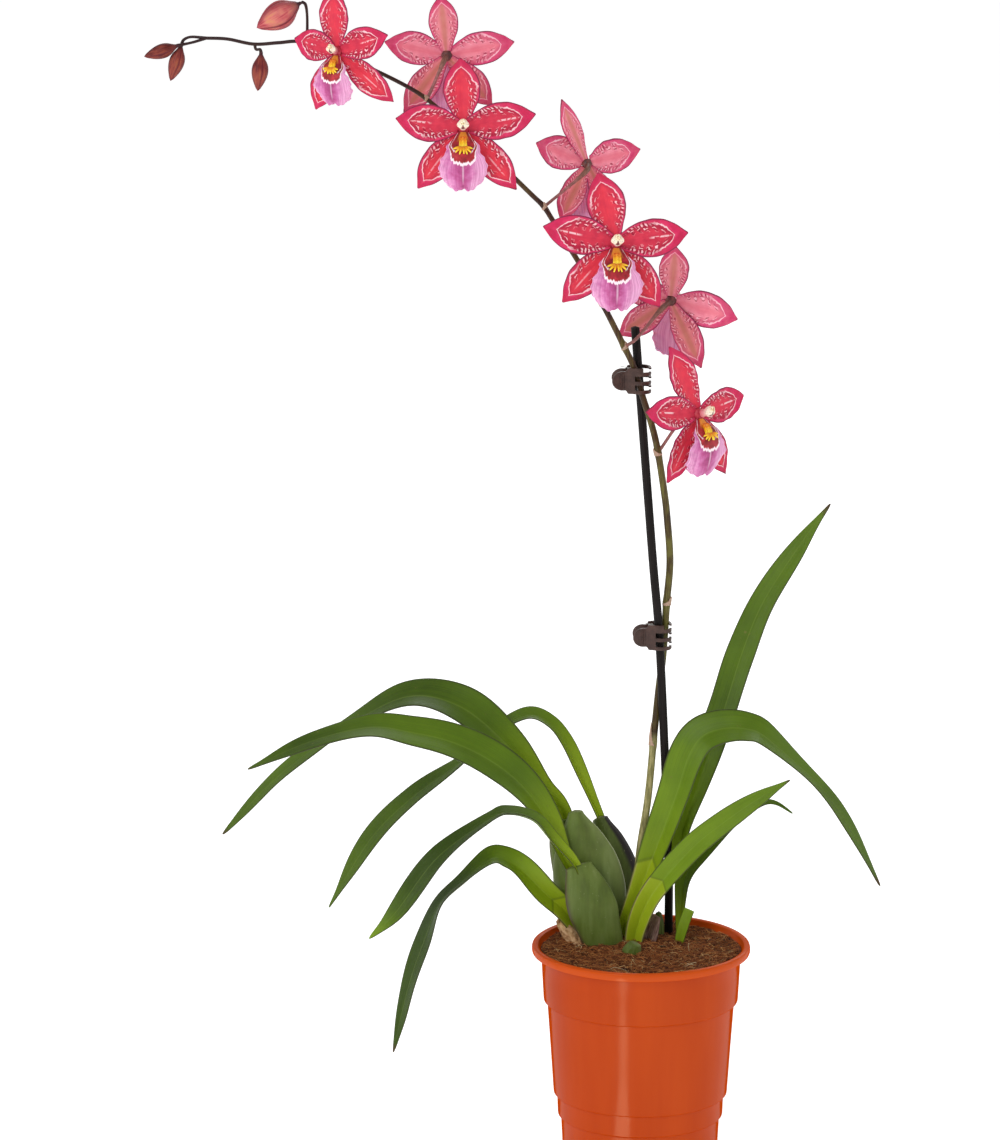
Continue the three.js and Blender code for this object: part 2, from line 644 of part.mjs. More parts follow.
// A stalk leaves the hub backwards and bends over to its node; it is thickest at the hub, as the ovary.
const STALK_RISE = 0.18;
const STALK_LEAN = 0.2;
const STALK_RADII = [0.95, 0.95, 1.05, 1.45, 1.35];
const stalks = [];
for (const [name, bloom] of Object.entries(BLOOMS)) {
  const shapes = [SEPAL_SHAPE, PETAL_SHAPE, PETAL_SHAPE, SEPAL_SHAPE, SEPAL_SHAPE];
  const tepals = bloom.tepals.map((t, i) => tepal(t, shapes[i], i));
  const flower = largest(joined([hub(bloom.size), ...tepals]));
  add("bloom_" + name + "_tepals", placed(flower, bloom, false), CRIMSON_PETAL);
  add("bloom_" + name + "_lip", placed(lip(), bloom, true), PINK_LIP);
  add("bloom_" + name + "_crest", placed(crest(), bloom, true), YELLOW_CREST);
  add("bloom_" + name + "_column", placed(column(), bloom, true), CREAM_COLUMN);
  const turn = bloom.yaw * DEG;
  const back = v3(-Math.sin(turn), Math.cos(turn), 0);
  const node = v3(...bloom.node);
  const end = v3(...bloom.hub).addScaledVector(back, HUB_DEPTH * HUB_RADIUS * bloom.size + 2 * GAP);
  const reach = node.distanceTo(end);
  const behind = end.clone().addScaledVector(back, STALK_RISE * reach).lerp(node, STALK_LEAN);
  const route = [bloom.node, ...(bloom.via ?? []), behind.toArray(), end.toArray()];
  stalks.push(stem(route, STALK_RADII, 5, 5));
}

const spikeBody = (grow = 0) => stem(SPIKE_ROUTE, STEM_RADII, 6, 46, grow);
const spike = joined([spikeBody(), ...TWIGS.map((t) => stem(t.route, t.radii, 5, 4)), ...stalks]);
const stakeSection = new THREE.Shape();
stakeSection.absarc(0, 0, STAKE_RADIUS, 0, ROUND);
const grownSection = new THREE.Shape();
grownSection.absarc(0, 0, STAKE_RADIUS + GAP, 0, ROUND);
const stakeOf = (section, below) =>
  solidOf(
    new THREE.ExtrudeGeometry(section, {
      steps: 9,
      curveSegments: 5,
      bevelEnabled: false,
      extrudePath: curveOf([below, ...STAKE_ROUTE.slice(1)]),
    }),
  );
const [foot] = STAKE_ROUTE;
const stake = stakeOf(stakeSection, foot);
const stakeRoom = stakeOf(grownSection, [foot[0], foot[1], foot[2] - GAP]);

// The claw clips: each a back jaw with its pin, and a front jaw that turns about it. A jaw is a thumb
// tab, a back plate and three fingers that reach round the stake and the spike. at is the pin's middle.
const CLIPS = {
  upper: { at: [-7.4, 12.5, 437.8] },
  lower: { at: [5, 26.2, 292.6] },
};
const JAW_THICKNESS = 1.4;
const JAW_HEIGHT = 14;
const TAB_RADIUS = 5;
const TAB_MIDDLE = -4.2;
const FINGER_HEIGHT = 1.9;
const FINGER_PITCH = 4.9;
const FINGER_SHIFT = 2.3; // how far the back jaw's fingers lie above the front one's
const KNUCKLE_RADIUS = 1.6;
const PIN_RADIUS = 0.7;
const PIN_ROOM = 0.2;
const KNUCKLE_HALF = 2.6; // half the length of the front jaw's knuckle

// A wall of even thickness along a line in XY, from z to z + height.
function wallAlong(line, z, height) {
  const half = JAW_THICKNESS / 2;
  const curve = new THREE.SplineCurve(line.map(([x, y]) => new THREE.Vector2(x, y)));
  const steps = line.length - 1;
  const one = [];
  const other = [];
  for (let i = 0; i <= steps; i++) {
    const p = curve.getPoint(i / steps);
    const t = curve.getTangent(i / steps);
    one.push(new THREE.Vector2(p.x - half * t.y, p.y + half * t.x));
    other.unshift(new THREE.Vector2(p.x + half * t.y, p.y - half * t.x));
  }
  const geometry = new THREE.ExtrudeGeometry(new THREE.Shape([...one, ...other]), {
    depth: height,
    bevelEnabled: false,
  });
  geometry.translate(0, 0, z);
  return solidOf(geometry);
}
function rod(radius, z0, z1, sides = 8) {
  const geometry = new THREE.CylinderGeometry(radius, radius, z1 - z0, sides);
  geometry.rotateX(Math.PI / 2);
  geometry.translate(0, 0, (z0 + z1) / 2);
  return solidOf(geometry);
}
function block(x0, x1, y0, y1, z0, z1) {
  const geometry = new THREE.BoxGeometry(x1 - x0, y1 - y0, z1 - z0);
  geometry.translate((x0 + x1) / 2, (y0 + y1) / 2, (z0 + z1) / 2);
  return solidOf(geometry);
}
const TAB_LINE = [
  [-9.6, 6.5], [-6.8, 5.5], [-4, 4.7], [-1.2, 4.6], [1, 5.2], [3.2, 6.1], [5.2, 6.5], [7, 6.3],
];
const FINGER_LINE = [[1.6, 5.3], [3.2, 6.1], [5.2, 6.5], [7, 6.3], [9.5, 5], [10.7, 2.6], [10.9, -1.2]];
function jaw(shift, knuckles) {
  const round = new THREE.CylinderGeometry(TAB_RADIUS, TAB_RADIUS, 20, 14).translate(TAB_MIDDLE, 0, 0);
  const plate = wallAlong(TAB_LINE, -JAW_HEIGHT / 2, JAW_HEIGHT);
  const trimmed = joined([
    plate.intersect(solidOf(round)),
    plate.intersect(block(-1.6, 8, -20, 20, -JAW_HEIGHT / 2, JAW_HEIGHT / 2)),
  ]);
  const fingers = [-1, 0, 1].map((k) =>
    wallAlong(FINGER_LINE, k * FINGER_PITCH + shift - FINGER_HEIGHT / 2, FINGER_HEIGHT),
  );
  const lugs = knuckles.map(([z0, z1]) =>
    joined([rod(KNUCKLE_RADIUS, z0, z1), block(-1, 1, 0.4, 4.6, z0, z1)]),
  );
  return joined([trimmed, ...fingers, ...lugs]);
}
const backJaw = jaw(FINGER_SHIFT / 2, [
  [-KNUCKLE_HALF - 3.2, -KNUCKLE_HALF - GAP],
  [KNUCKLE_HALF + GAP, KNUCKLE_HALF + 3.2],
]).add(rod(PIN_RADIUS, -KNUCKLE_HALF - 3.6, KNUCKLE_HALF + 3.6));
const mirrored = new THREE.Matrix4().makeScale(1, -1, 1);
const frontJaw = jaw(-FINGER_SHIFT / 2, [[-KNUCKLE_HALF, KNUCKLE_HALF]])
  .transform(mirrored.elements)
  .subtract(rod(PIN_RADIUS + PIN_ROOM, -20, 20));
for (const [name, clip] of Object.entries(CLIPS)) {
  add("clip_" + name + "_back_jaw", backJaw.translate(clip.at), BROWN_CLIP);
  add("clip_" + name + "_front_jaw", frontJaw.translate(clip.at), BROWN_CLIP);
}

// Each leaf gives way to the bulbs, the stake, the spike and the leaves made before it.
const grownBulbs = bulbNames.map((name) => bulb(BULBS[name], GAP));
const stemRoom = spikeBody(GAP);
const leaves = {};
for (const [name, shape] of Object.entries(LEAVES)) {
  const earlier = Object.keys(leaves).map((other) => leaf(LEAVES[other], GAP));
  leaves[name] = largest(without(leaf(shape), [...grownBulbs, stakeRoom, stemRoom, ...earlier]));
}

// A dry papery sheath at the foot of the low right leaf.
const SHEATH = {
  route: [[1.5, 12.5, 117], [4, 13, 126], [8.5, 13.5, 137]],
  width: 12,
  shares: [0.9, 1, 0.55],
  turns: [15, 20, 30],
};
const sheath = largest(
  without(leaf(SHEATH), [
    ...grownBulbs,
    stakeRoom,
    stemRoom,
    ...Object.values(LEAVES).map((other) => leaf(other, GAP)),
  ]),
);

// The coco fibre fills the pot and is heaped a little round the bulbs, which stand in holes in it.
const FILL_SIDES = 24;
const FILL_RINGS = [0.5, 1];
const fillTop = (x, y) =>
  FILL_HEIGHT +
  FILL_CROWN * Math.exp(-((x + 6) ** 2 + (y - 16) ** 2) / 900) +
  0.7 * Math.sin(0.23 * x + 1) * Math.cos(0.19 * y);
const innerRadius = (z) => {
  const k = innerOutline.findIndex(([, height]) => height <= z);
  if (k <= 0) return innerOutline[0][0];
  const [r1, z1] = innerOutline[k - 1];
  const [r0, z0] = innerOutline[k];
  return r0 + ((r1 - r0) * (z - z0)) / (z1 - z0);
};
function fill() {
  const rings = [];
  const ring = (radius, height) =>
    Array.from({ length: FILL_SIDES }, (_, k) => {
      const angle = (k * ROUND) / FILL_SIDES;
      const [x, y] = [radius * Math.cos(angle), radius * Math.sin(angle)];
      return v3(x, y, height(x, y));
    });
  const wallGap = WALL / 2; // also takes up the facets of the round pot
  const bottom = FLOOR + GAP;
  rings.push(ring(BASE_RADIUS - WALL - 1, () => bottom));
  for (const s of STEPS) rings.push(ring(s.below - WALL - wallGap, () => s.z - 1));
  const brim = innerRadius(FILL_HEIGHT - 2) - wallGap;
  rings.push(ring(brim, () => FILL_HEIGHT - 3));
  for (const share of [...FILL_RINGS].reverse()) rings.push(ring(brim * share, fillTop));
  return loft(rings, v3(0, 0, bottom), v3(0, 0, fillTop(0, 0)));
}
const substrate = without(fill(), [
  ...grownBulbs,
  stakeRoom,
  stemRoom,
  ...Object.values(LEAVES).map((other) => leaf(other, GAP)),
  leaf(SHEATH, GAP),
]);
add("substrate", largest(substrate), COCO_FIBRE);
for (const name of bulbNames) add(name, bulbs[name], BULBS[name].color);
for (const name of Object.keys(leaves)) add(name, leaves[name], LEAF_GREEN);
add("sheath_dry", sheath, MAUVE_HUSK);
add("spike", spike, STEM_OLIVE);
add("stake", stake, CHARCOAL_STAKE);
for (const [name, shape] of Object.entries(BUDS)) add(name, bud(shape), BUD_MAROON);

export default group;
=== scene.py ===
import bisect
import math
import random
from functools import partial

import bpy
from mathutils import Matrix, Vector, noise


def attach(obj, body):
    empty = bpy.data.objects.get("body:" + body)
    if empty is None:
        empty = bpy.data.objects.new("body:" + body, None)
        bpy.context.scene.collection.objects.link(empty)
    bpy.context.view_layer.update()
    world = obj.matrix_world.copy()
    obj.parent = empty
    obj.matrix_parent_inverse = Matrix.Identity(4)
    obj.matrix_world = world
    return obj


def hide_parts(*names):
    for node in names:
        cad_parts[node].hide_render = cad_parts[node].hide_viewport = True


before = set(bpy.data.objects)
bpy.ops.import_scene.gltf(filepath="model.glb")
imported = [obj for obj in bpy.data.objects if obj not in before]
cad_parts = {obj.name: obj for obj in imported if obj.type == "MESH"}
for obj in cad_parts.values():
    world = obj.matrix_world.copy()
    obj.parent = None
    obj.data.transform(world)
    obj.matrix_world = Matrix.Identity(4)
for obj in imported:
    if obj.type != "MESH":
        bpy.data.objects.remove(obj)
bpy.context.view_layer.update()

# ---- The studio: a white paper floor, broad soft lights and a long lens -------------------------------
# The plant stands alone in front of white, lit by a large window-like box at the upper left and weaker ones
# at both sides and behind. The lens is long, and looks down by 12.5 degrees on the whole plant.
MM = 0.001


def linear(colour):
    """An sRGB hex colour as linear RGBA."""
    channels = [int(colour[i : i + 2], 16) / 255 for i in (1, 3, 5)]
    return [c / 12.92 if c <= 0.04045 else ((c + 0.055) / 1.055) ** 2.4 for c in channels] + [1]


def wire(material, socket, value):
    """Sets a socket, or links what feeds it."""
    if isinstance(value, bpy.types.NodeSocket):
        material.node_tree.links.new(value, socket)
    else:
        socket.default_value = linear(value) if isinstance(value, str) else value


def node(material, kind, *inputs, out=None, **settings):
    """Adds a node and gives back its first live output, or the one called out.

    kind may name its operation after a space. The inputs fill its live sockets in order, and those with a
    capital letter fill sockets by name. The stops of a ramp or the points of a curve come last.
    """
    kind, _, mode = kind.partition(" ")
    made = material.node_tree.nodes.new("ShaderNode" + kind)
    if mode:
        setattr(made, {"Math": "operation", "MapRange": "interpolation_type", "Mix": "data_type"}[kind], mode)
    stops = [value for value in inputs if kind in ("ValToRGB", "FloatCurve") and isinstance(value, tuple)]
    if kind == "ValToRGB":
        ramp = made.color_ramp.elements
        ramp.remove(ramp[0])
        ramp[0].position, ramp[0].color = stops[0][0], linear(stops[0][1])
        for place, colour in stops[1:]:
            ramp.new(place).color = linear(colour)
    elif stops:
        points = made.mapping.curves[0].points
        points[0].location, points[1].location = stops[0], stops[-1]
        for place, value in stops[1:-1]:
            points.new(place, value)
        made.mapping.update()
    live = [socket for socket in made.inputs if socket.enabled]
    for socket, value in zip(live, inputs[: len(inputs) - len(stops)]):
        wire(material, socket, value)
    for name, value in settings.items():
        if name[0].isupper():
            wire(material, made.inputs[name], value)
        else:
            setattr(made, name, value)
    return next(socket for socket in made.outputs if socket.enabled) if out is None else made.outputs[out]


def coat(material, **sockets):
    """Sets or wires the sockets of a material's own shader."""
    for name, value in sockets.items():
        wire(material, material.node_tree.nodes["Principled BSDF"].inputs[name.replace("_", " ")], value)


def finish(name, **sockets):
    """A new material with its shader's sockets set, and the function that adds a node to it."""
    material = bpy.data.materials.new(name)
    material.use_nodes = True
    coat(material, **sockets)
    return material, partial(node, material)


bpy.ops.object.select_all(action="DESELECT")
bpy.ops.mesh.primitive_plane_add(size=24)
floor = bpy.context.object
floor.name = "paper_floor"
paper, add = finish(
    "backlit_white_paper", Base_Color="#fbfbfb", Roughness=0.9, Specular_IOR_Level=0.1,
    Emission_Color="#ffffff", Emission_Strength=0.48,
)
floor.data.materials.append(paper)

bpy.context.scene.view_settings.view_transform = "Standard"
world = bpy.data.worlds.new("studio")
world.use_nodes = True
backdrop = world.node_tree.nodes["Background"]
backdrop.inputs["Color"].default_value, backdrop.inputs["Strength"].default_value = linear("#ffffff"), 0.55
bpy.context.scene.world = world

for name, place, size, power in (
    ("window_left", (-1.15, -2.1, 1.7), 0.7, 26),
    ("window_side", (-2.3, 0.3, 1.2), 0.5, 9),
    ("window_right", (2.2, 0.1, 1.2), 0.5, 10),
    ("behind", (0.3, 1.8, 1.7), 1.5, 14),
):
    bpy.ops.object.light_add(type="AREA", location=place)
    light = bpy.context.object
    light.name, light.data.shape = name, "RECTANGLE"
    light.data.size, light.data.size_y, light.data.energy = size, 1.7, power
    light.rotation_euler = (Vector((-0.05, 0, 0.35)) - Vector(place)).to_track_quat("-Z", "Y").to_euler()

# A narrow strip that lies on the floor in front of the pot and faces up draws an upright gleam on its wall.
# Only shiny surfaces show it.
bpy.ops.object.light_add(
    type="AREA", location=(-0.078, -0.206, 0.004), rotation=(math.pi, 0, math.radians(-20.8)),
)
strip = bpy.context.object
strip.name, strip.data.shape = "strip_on_floor", "RECTANGLE"
strip.data.size, strip.data.size_y, strip.data.energy = 0.026, 0.3, 0.22
strip.data.color = linear("#ffd9ae")[:3]
strip.visible_camera = strip.visible_diffuse = False

bpy.ops.object.camera_add(location=(-0.07755, -2.88449, 0.97461), rotation=(math.radians(77.5), 0, 0))
camera = bpy.context.object
camera.data.sensor_width, camera.data.sensor_fit = 36, "AUTO"
camera.data.lens, camera.data.clip_end = 172.25, 100
bpy.context.scene.camera = camera

# ---- The pot: an injection-moulded nursery pot ---------------------------------------------------------
# Orange polypropylene, 12 cm across the rim, with three steps where pots stop in each other, a rolled
# rim and six drain holes. The tool leaves it glossy, with faint upright flow marks.
# Radius and height of each ring, from the foot up the outside, over the rim and down the inside.
POT_RINGS = [
    (41.6, 0.25), (42.3, 0.7), (42.5, 1.6), (43.1, 14), (43.75, 26.4), (43.95, 27.1), (45, 27.6),
    (45.45, 28.1), (45.55, 28.9), (45.9, 38.9), (46.1, 39.6), (47.4, 40.1), (47.85, 40.6), (47.95, 41.4),
    (49.6, 66), (51.45, 91.9), (51.7, 92.7), (53, 93.2), (53.45, 93.7), (53.55, 94.5), (54.3, 108),
    (54.8, 118.9), (55.3, 119.9), (56.6, 120.25), (58.9, 120.3), (59.7, 120.7), (60, 121.5), (60, 123.4),
    (59.7, 124.3), (59, 124.85), (58.1, 125), (57.3, 124.85), (56.6, 124.4), (56.25, 123.6), (55.8, 122),
    (54.6, 120.6), (53.75, 119.6), (53.1, 108), (52.3, 93.4), (50.3, 91.4), (46.7, 41), (44.9, 38.6),
    (44.4, 28.4), (42.7, 26.2), (41.4, 3.4), (40.9, 2.1), (39.8, 1.6),
]
bpy.ops.object.select_all(action="DESELECT")
bpy.ops.mesh.primitive_circle_add(vertices=144, radius=40.8 * MM, fill_type="NGON")
pot = bpy.context.object
pot.name = "nursery_pot"
bpy.ops.object.mode_set(mode="EDIT")
bpy.ops.mesh.select_all(action="SELECT")
radius, height = 40.8, 0
for ring_radius, ring_height in POT_RINGS:
    bpy.ops.mesh.extrude_region_move(TRANSFORM_OT_translate={"value": (0, 0, (ring_height - height) * MM)})
    share = ring_radius / radius
    bpy.ops.transform.resize(value=(share, share, 1), center_override=(0, 0, ring_height * MM))
    radius, height = ring_radius, ring_height
bpy.ops.mesh.select_all(action="SELECT")
bpy.ops.mesh.normals_make_consistent(inside=False)
bpy.ops.object.mode_set(mode="OBJECT")


def only(*pieces):
    """Selects these pieces alone and makes the first one active."""
    bpy.ops.object.select_all(action="DESELECT")
    for piece in pieces:
        piece.select_set(True)
    bpy.context.view_layer.objects.active = pieces[0]


def worked(piece, kind, **settings):
    """Gives a piece a modifier and applies it."""
    modifier = piece.modifiers.new(kind.lower(), kind)
    for key, value in settings.items():
        setattr(modifier, key, value)
    only(piece)
    bpy.ops.object.modifier_apply(modifier=modifier.name)


def cut(piece, tool, operation="DIFFERENCE"):
    """Cuts a tool's shape out of a piece, or unites the two, and removes the tool."""
    worked(piece, "BOOLEAN", operation=operation, object=tool, solver="EXACT")
    bpy.data.objects.remove(tool)


def smoothed(piece, angle):
    """Shades a piece smooth, but for its edges sharper than angle."""
    only(piece)
    bpy.ops.object.shade_smooth_by_angle(angle=math.radians(angle))


DRAIN_HOLES, DRAIN_RADIUS, DRAIN_CIRCLE = 6, 3.5, 28
for i in range(DRAIN_HOLES):
    turn = math.radians((i + 0.5) * 360 / DRAIN_HOLES)
    place = (DRAIN_CIRCLE * MM * math.cos(turn), DRAIN_CIRCLE * MM * math.sin(turn), 0)
    bpy.ops.mesh.primitive_cylinder_add(vertices=32, radius=DRAIN_RADIUS * MM, depth=12 * MM, location=place)
    cut(pot, bpy.context.object)
smoothed(pot, 32)

# Polypropylene is waxy, and the pigment lies in faint upright streaks. The rim is painted a lighter orange, a
# painted highlight on its rolled lip.
polypropylene, add = finish("moulded_polypropylene", IOR=1.49, Specular_IOR_Level=0.13)
where = add("TexCoord", out="Object")
streaks = add("TexNoise", add("Mapping", where, Scale=(60, 60, 5)), 1, 4)
wall = add("ValToRGB", streaks, (0.3, "#ac3a04"), (0.7, "#b64209"))
# A painted highlight: the rim, above the wall, is painted lighter.
rim = add("MapRange", add("SeparateXYZ", where, out=2), 0.1194, 0.1204)
pigment_and_rim_highlight = add("Mix RGBA", rim, wall, "#c04a12")
scuffs, orange_peel = add("TexNoise", where, 60, 3), add("TexNoise", where, 90, 1)
gloss = add("MapRange", scuffs, 0.3, 0.75, 0.15, 0.22)
relief = add("Bump", Height=orange_peel, Strength=0.05, Distance=0.0004)
# Seen edge on, the worn skin reflects less of the white room than a polished one would.
sheen = add("MapRange", add("LayerWeight", 0.5, out="Facing"), 0.12, 0.8, 0.13, 0)
coat(polypropylene, Base_Color=pigment_and_rim_highlight, Roughness=gloss, Normal=relief, Specular_IOR_Level=sheen)
pot.data.materials.append(polypropylene)
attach(pot, "plant")
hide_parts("pot")

# ---- The growing medium: coco fibre with bark crumbs ---------------------------------------------------
# Brown coir, loosely filled to just under the rim and heaped a little round the bulbs. Single strands
# curl out of it, with bits of husk and bark between them and a few pale dead roots.
random.seed(11)
FILL = 119.6


def fill_top(x, y):
    """The height of the fibre, in millimetres."""
    heap = 3.4 * math.exp(-((x + 6) ** 2 + (y - 16) ** 2) / 900)
    wave = 0.7 * math.sin(0.23 * x + 1) * math.cos(0.19 * y)
    rough = 1.2 * noise.noise(Vector((x * 0.16, y * 0.16, 3)))
    rough += 0.6 * noise.noise(Vector((x * 0.5, y * 0.5, 7)))
    brim = 2.3 * max(0, min(1, (math.hypot(x, y) - 40) / 14)) ** 2
    return FILL - 0.2 + heap + wave + rough + brim


def grid(name, across, along, place, wrapped=False, skins=()):
    """A grid primitive with its points moved to place(u, v), in millimetres, u and v from 0 to 1."""
    bpy.ops.object.select_all(action="DESELECT")
    bpy.ops.mesh.primitive_grid_add(x_subdivisions=across, y_subdivisions=along, size=2)
    piece = bpy.context.object
    piece.name = name
    for skin in skins:
        piece.data.materials.append(skin)
    for vertex in piece.data.vertices:
        vertex.co = place((vertex.co.x + 1) / 2, (vertex.co.y + 1) / 2) * MM
    if wrapped:
        bpy.ops.object.mode_set(mode="EDIT")
        bpy.ops.mesh.select_all(action="SELECT")
        bpy.ops.mesh.remove_doubles(threshold=1e-7)
        bpy.ops.mesh.normals_make_consistent(inside=False)
        bpy.ops.object.mode_set(mode="OBJECT")
    return piece


# The bed's section, from the middle of its underside round to the middle of its top.
BED_RINGS = [(0, 1.9), (40.2, 1.9), (42.2, 26), (44.2, 38.5), (49.7, 91.5), (52.6, 114), (53.2, 119.2)]


def bed_point(u, v):
    """A point of the bed: the first part of v is its underside and wall, the rest its top."""
    turn = 2 * math.pi * u
    side = 0.12
    if v < side:
        spot = v / side * (len(BED_RINGS) - 1)
        i = min(int(spot), len(BED_RINGS) - 2)
        (r0, z0), (r1, z1) = BED_RINGS[i], BED_RINGS[i + 1]
        r, z = r0 + (r1 - r0) * (spot - i), z0 + (z1 - z0) * (spot - i)
        return Vector((r * math.cos(turn), r * math.sin(turn), z))
    r = 55 * (1 - (v - side) / (1 - side))
    x, y = r * math.cos(turn), r * math.sin(turn)
    return Vector((x, y, min(fill_top(x, y), 122) if r > 53.5 else fill_top(x, y)))


bed = grid("coco_bed", 150, 100, bed_point, wrapped=True)
smoothed(bed, 60)
coir, add = finish("coir_bed", Roughness=0.95, Specular_IOR_Level=0.2)
clumps = add("TexNoise", add("TexCoord", out="Object"), 420, 8, 0.7)
tone = add("ValToRGB", clumps, (0.38, "#1e0d06"), (0.5, "#663619"), (0.64, "#a2602f"))
coat(coir, Base_Color=tone, Normal=add("Bump", Height=clumps, Strength=0.9, Distance=0.0012))
bed.data.materials.append(coir)
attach(bed, "plant")
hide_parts("substrate")


def loose(name, points, faces, tones):
    """A piece made of many small shapes, each face with its own tone."""
    mesh = bpy.data.meshes.new(name)
    mesh.from_pydata(points, [], faces)
    mesh.attributes.new("tone", "FLOAT", "FACE").data.foreach_set("value", tones)
    piece = bpy.data.objects.new(name, mesh)
    bpy.context.collection.objects.link(piece)
    return piece


def strands(name, count, lengths, radii, lift, reach):
    """Loose fibres on the bed: each a three-sided thread with one bend, shaded by its own tone."""
    points, faces, tones = [], [], []
    for _ in range(count):
        r, turn = reach * math.sqrt(random.random()), random.uniform(0, 2 * math.pi)
        x, y = r * math.cos(turn), r * math.sin(turn)
        heading, length = random.uniform(0, 2 * math.pi), random.uniform(*lengths)
        bend, rise = random.uniform(-1.8, 1.8), random.uniform(*lift)
        thick, tone_of = random.uniform(*radii), random.random()
        first = len(points)
        for k in range(4):
            t = k / 3
            angle = heading + bend * t
            px = x + length * (t - 0.5) * math.cos(angle)
            py = y + length * (t - 0.5) * math.sin(angle)
            away = math.hypot(px, py)
            if away > reach + 1:
                px, py = px * (reach + 1) / away, py * (reach + 1) / away
            pz = fill_top(px, py) + 0.25 + rise * math.sin(math.pi * t)
            for c in range(3):
                a = 2 * math.pi * c / 3
                fine = thick * (1 - 0.6 * abs(2 * t - 1))
                across = Vector((-math.sin(angle), math.cos(angle), 0)) * (fine * math.cos(a))
                points.append((Vector((px, py, pz + fine * math.sin(a))) + across) * MM)
        for k in range(3):
            for c in range(3):
                a, b = first + 3 * k + c, first + 3 * k + (c + 1) % 3
                faces.append((a, b, b + 3, a + 3))
        faces += [(first + 2, first + 1, first), (first + 9, first + 10, first + 11)]
        tones += [tone_of] * 11
    return loose(name, points, faces, tones)


fibres = strands("coco_fibres", 6400, (3, 11), (0.08, 0.2), (0.1, 1.6), reach=53.2)
coir_thread, add = finish("coir_threads", Roughness=0.85, Specular_IOR_Level=0.25)
own = add("Attribute", out="Fac", attribute_name="tone")
tone = add(
    "ValToRGB", own, (0, "#3a1a0c"), (0.35, "#7a4424"), (0.7, "#a66536"), (0.92, "#bd8049"), (1, "#d8b07a"),
)
coat(coir_thread, Base_Color=tone)
fibres.data.materials.append(coir_thread)
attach(fibres, "plant")

# A few pale, dry roots lie across the bed, and some of them arch up from it.
roots = strands("dry_roots", 16, (6, 15), (0.12, 0.24), (0.6, 3.5), reach=46)
dead_root, add = finish("dead_root", Roughness=0.8)
own = add("Attribute", out="Fac", attribute_name="tone")
coat(dead_root, Base_Color=add("ValToRGB", own, (0, "#9a7446"), (0.6, "#c2a473"), (1, "#d9c9a2")))
roots.data.materials.append(dead_root)
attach(roots, "plant")

# Crumbs of husk and bark, each a small broken block.
points, faces, tones = [], [], []
BLOCK = [(-1, -1, -1), (1, -1, -1), (1, 1, -1), (-1, 1, -1), (-1, -1, 1), (1, -1, 1), (1, 1, 1), (-1, 1, 1)]
SIDES = [(3, 2, 1, 0), (4, 5, 6, 7), (0, 1, 5, 4), (1, 2, 6, 5), (2, 3, 7, 6), (3, 0, 4, 7)]
for _ in range(2600):
    r, turn = 53 * math.sqrt(random.random()), random.uniform(0, 2 * math.pi)
    x, y = r * math.cos(turn), r * math.sin(turn)
    grow = random.uniform(0.2, 0.6) * (2.1 if random.random() < 0.05 else 1)
    shape = Vector((random.uniform(0.8, 1.7), random.uniform(0.6, 1.1), random.uniform(0.35, 0.8)))
    spin, first, tone_of = random.uniform(0, math.pi), len(points), random.random()
    for corner in BLOCK:
        cx, cy, cz = (grow * shape[i] * corner[i] * random.uniform(0.6, 1.1) for i in range(3))
        px = x + cx * math.cos(spin) - cy * math.sin(spin)
        py = y + cx * math.sin(spin) + cy * math.cos(spin)
        points.append(Vector((px, py, fill_top(x, y) + 0.3 * grow + cz)) * MM)
    faces += [[first + i for i in side] for side in SIDES]
    tones += [tone_of] * 6
crumbs = loose("bark_crumbs", points, faces, tones)
bark, add = finish("bark_crumb", Roughness=0.9, Specular_IOR_Level=0.2)
own = add("Attribute", out="Fac", attribute_name="tone")
tone = add("ValToRGB", own, (0, "#2b170c"), (0.45, "#633a1f"), (0.85, "#925f38"), (1, "#b88c5c"))
grain = add("TexNoise", add("TexCoord", out="Object"), 1500, 3)
coat(bark, Base_Color=add("Mix RGBA", grain, "#3a2011", tone))
crumbs.data.materials.append(bark)
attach(crumbs, "plant")

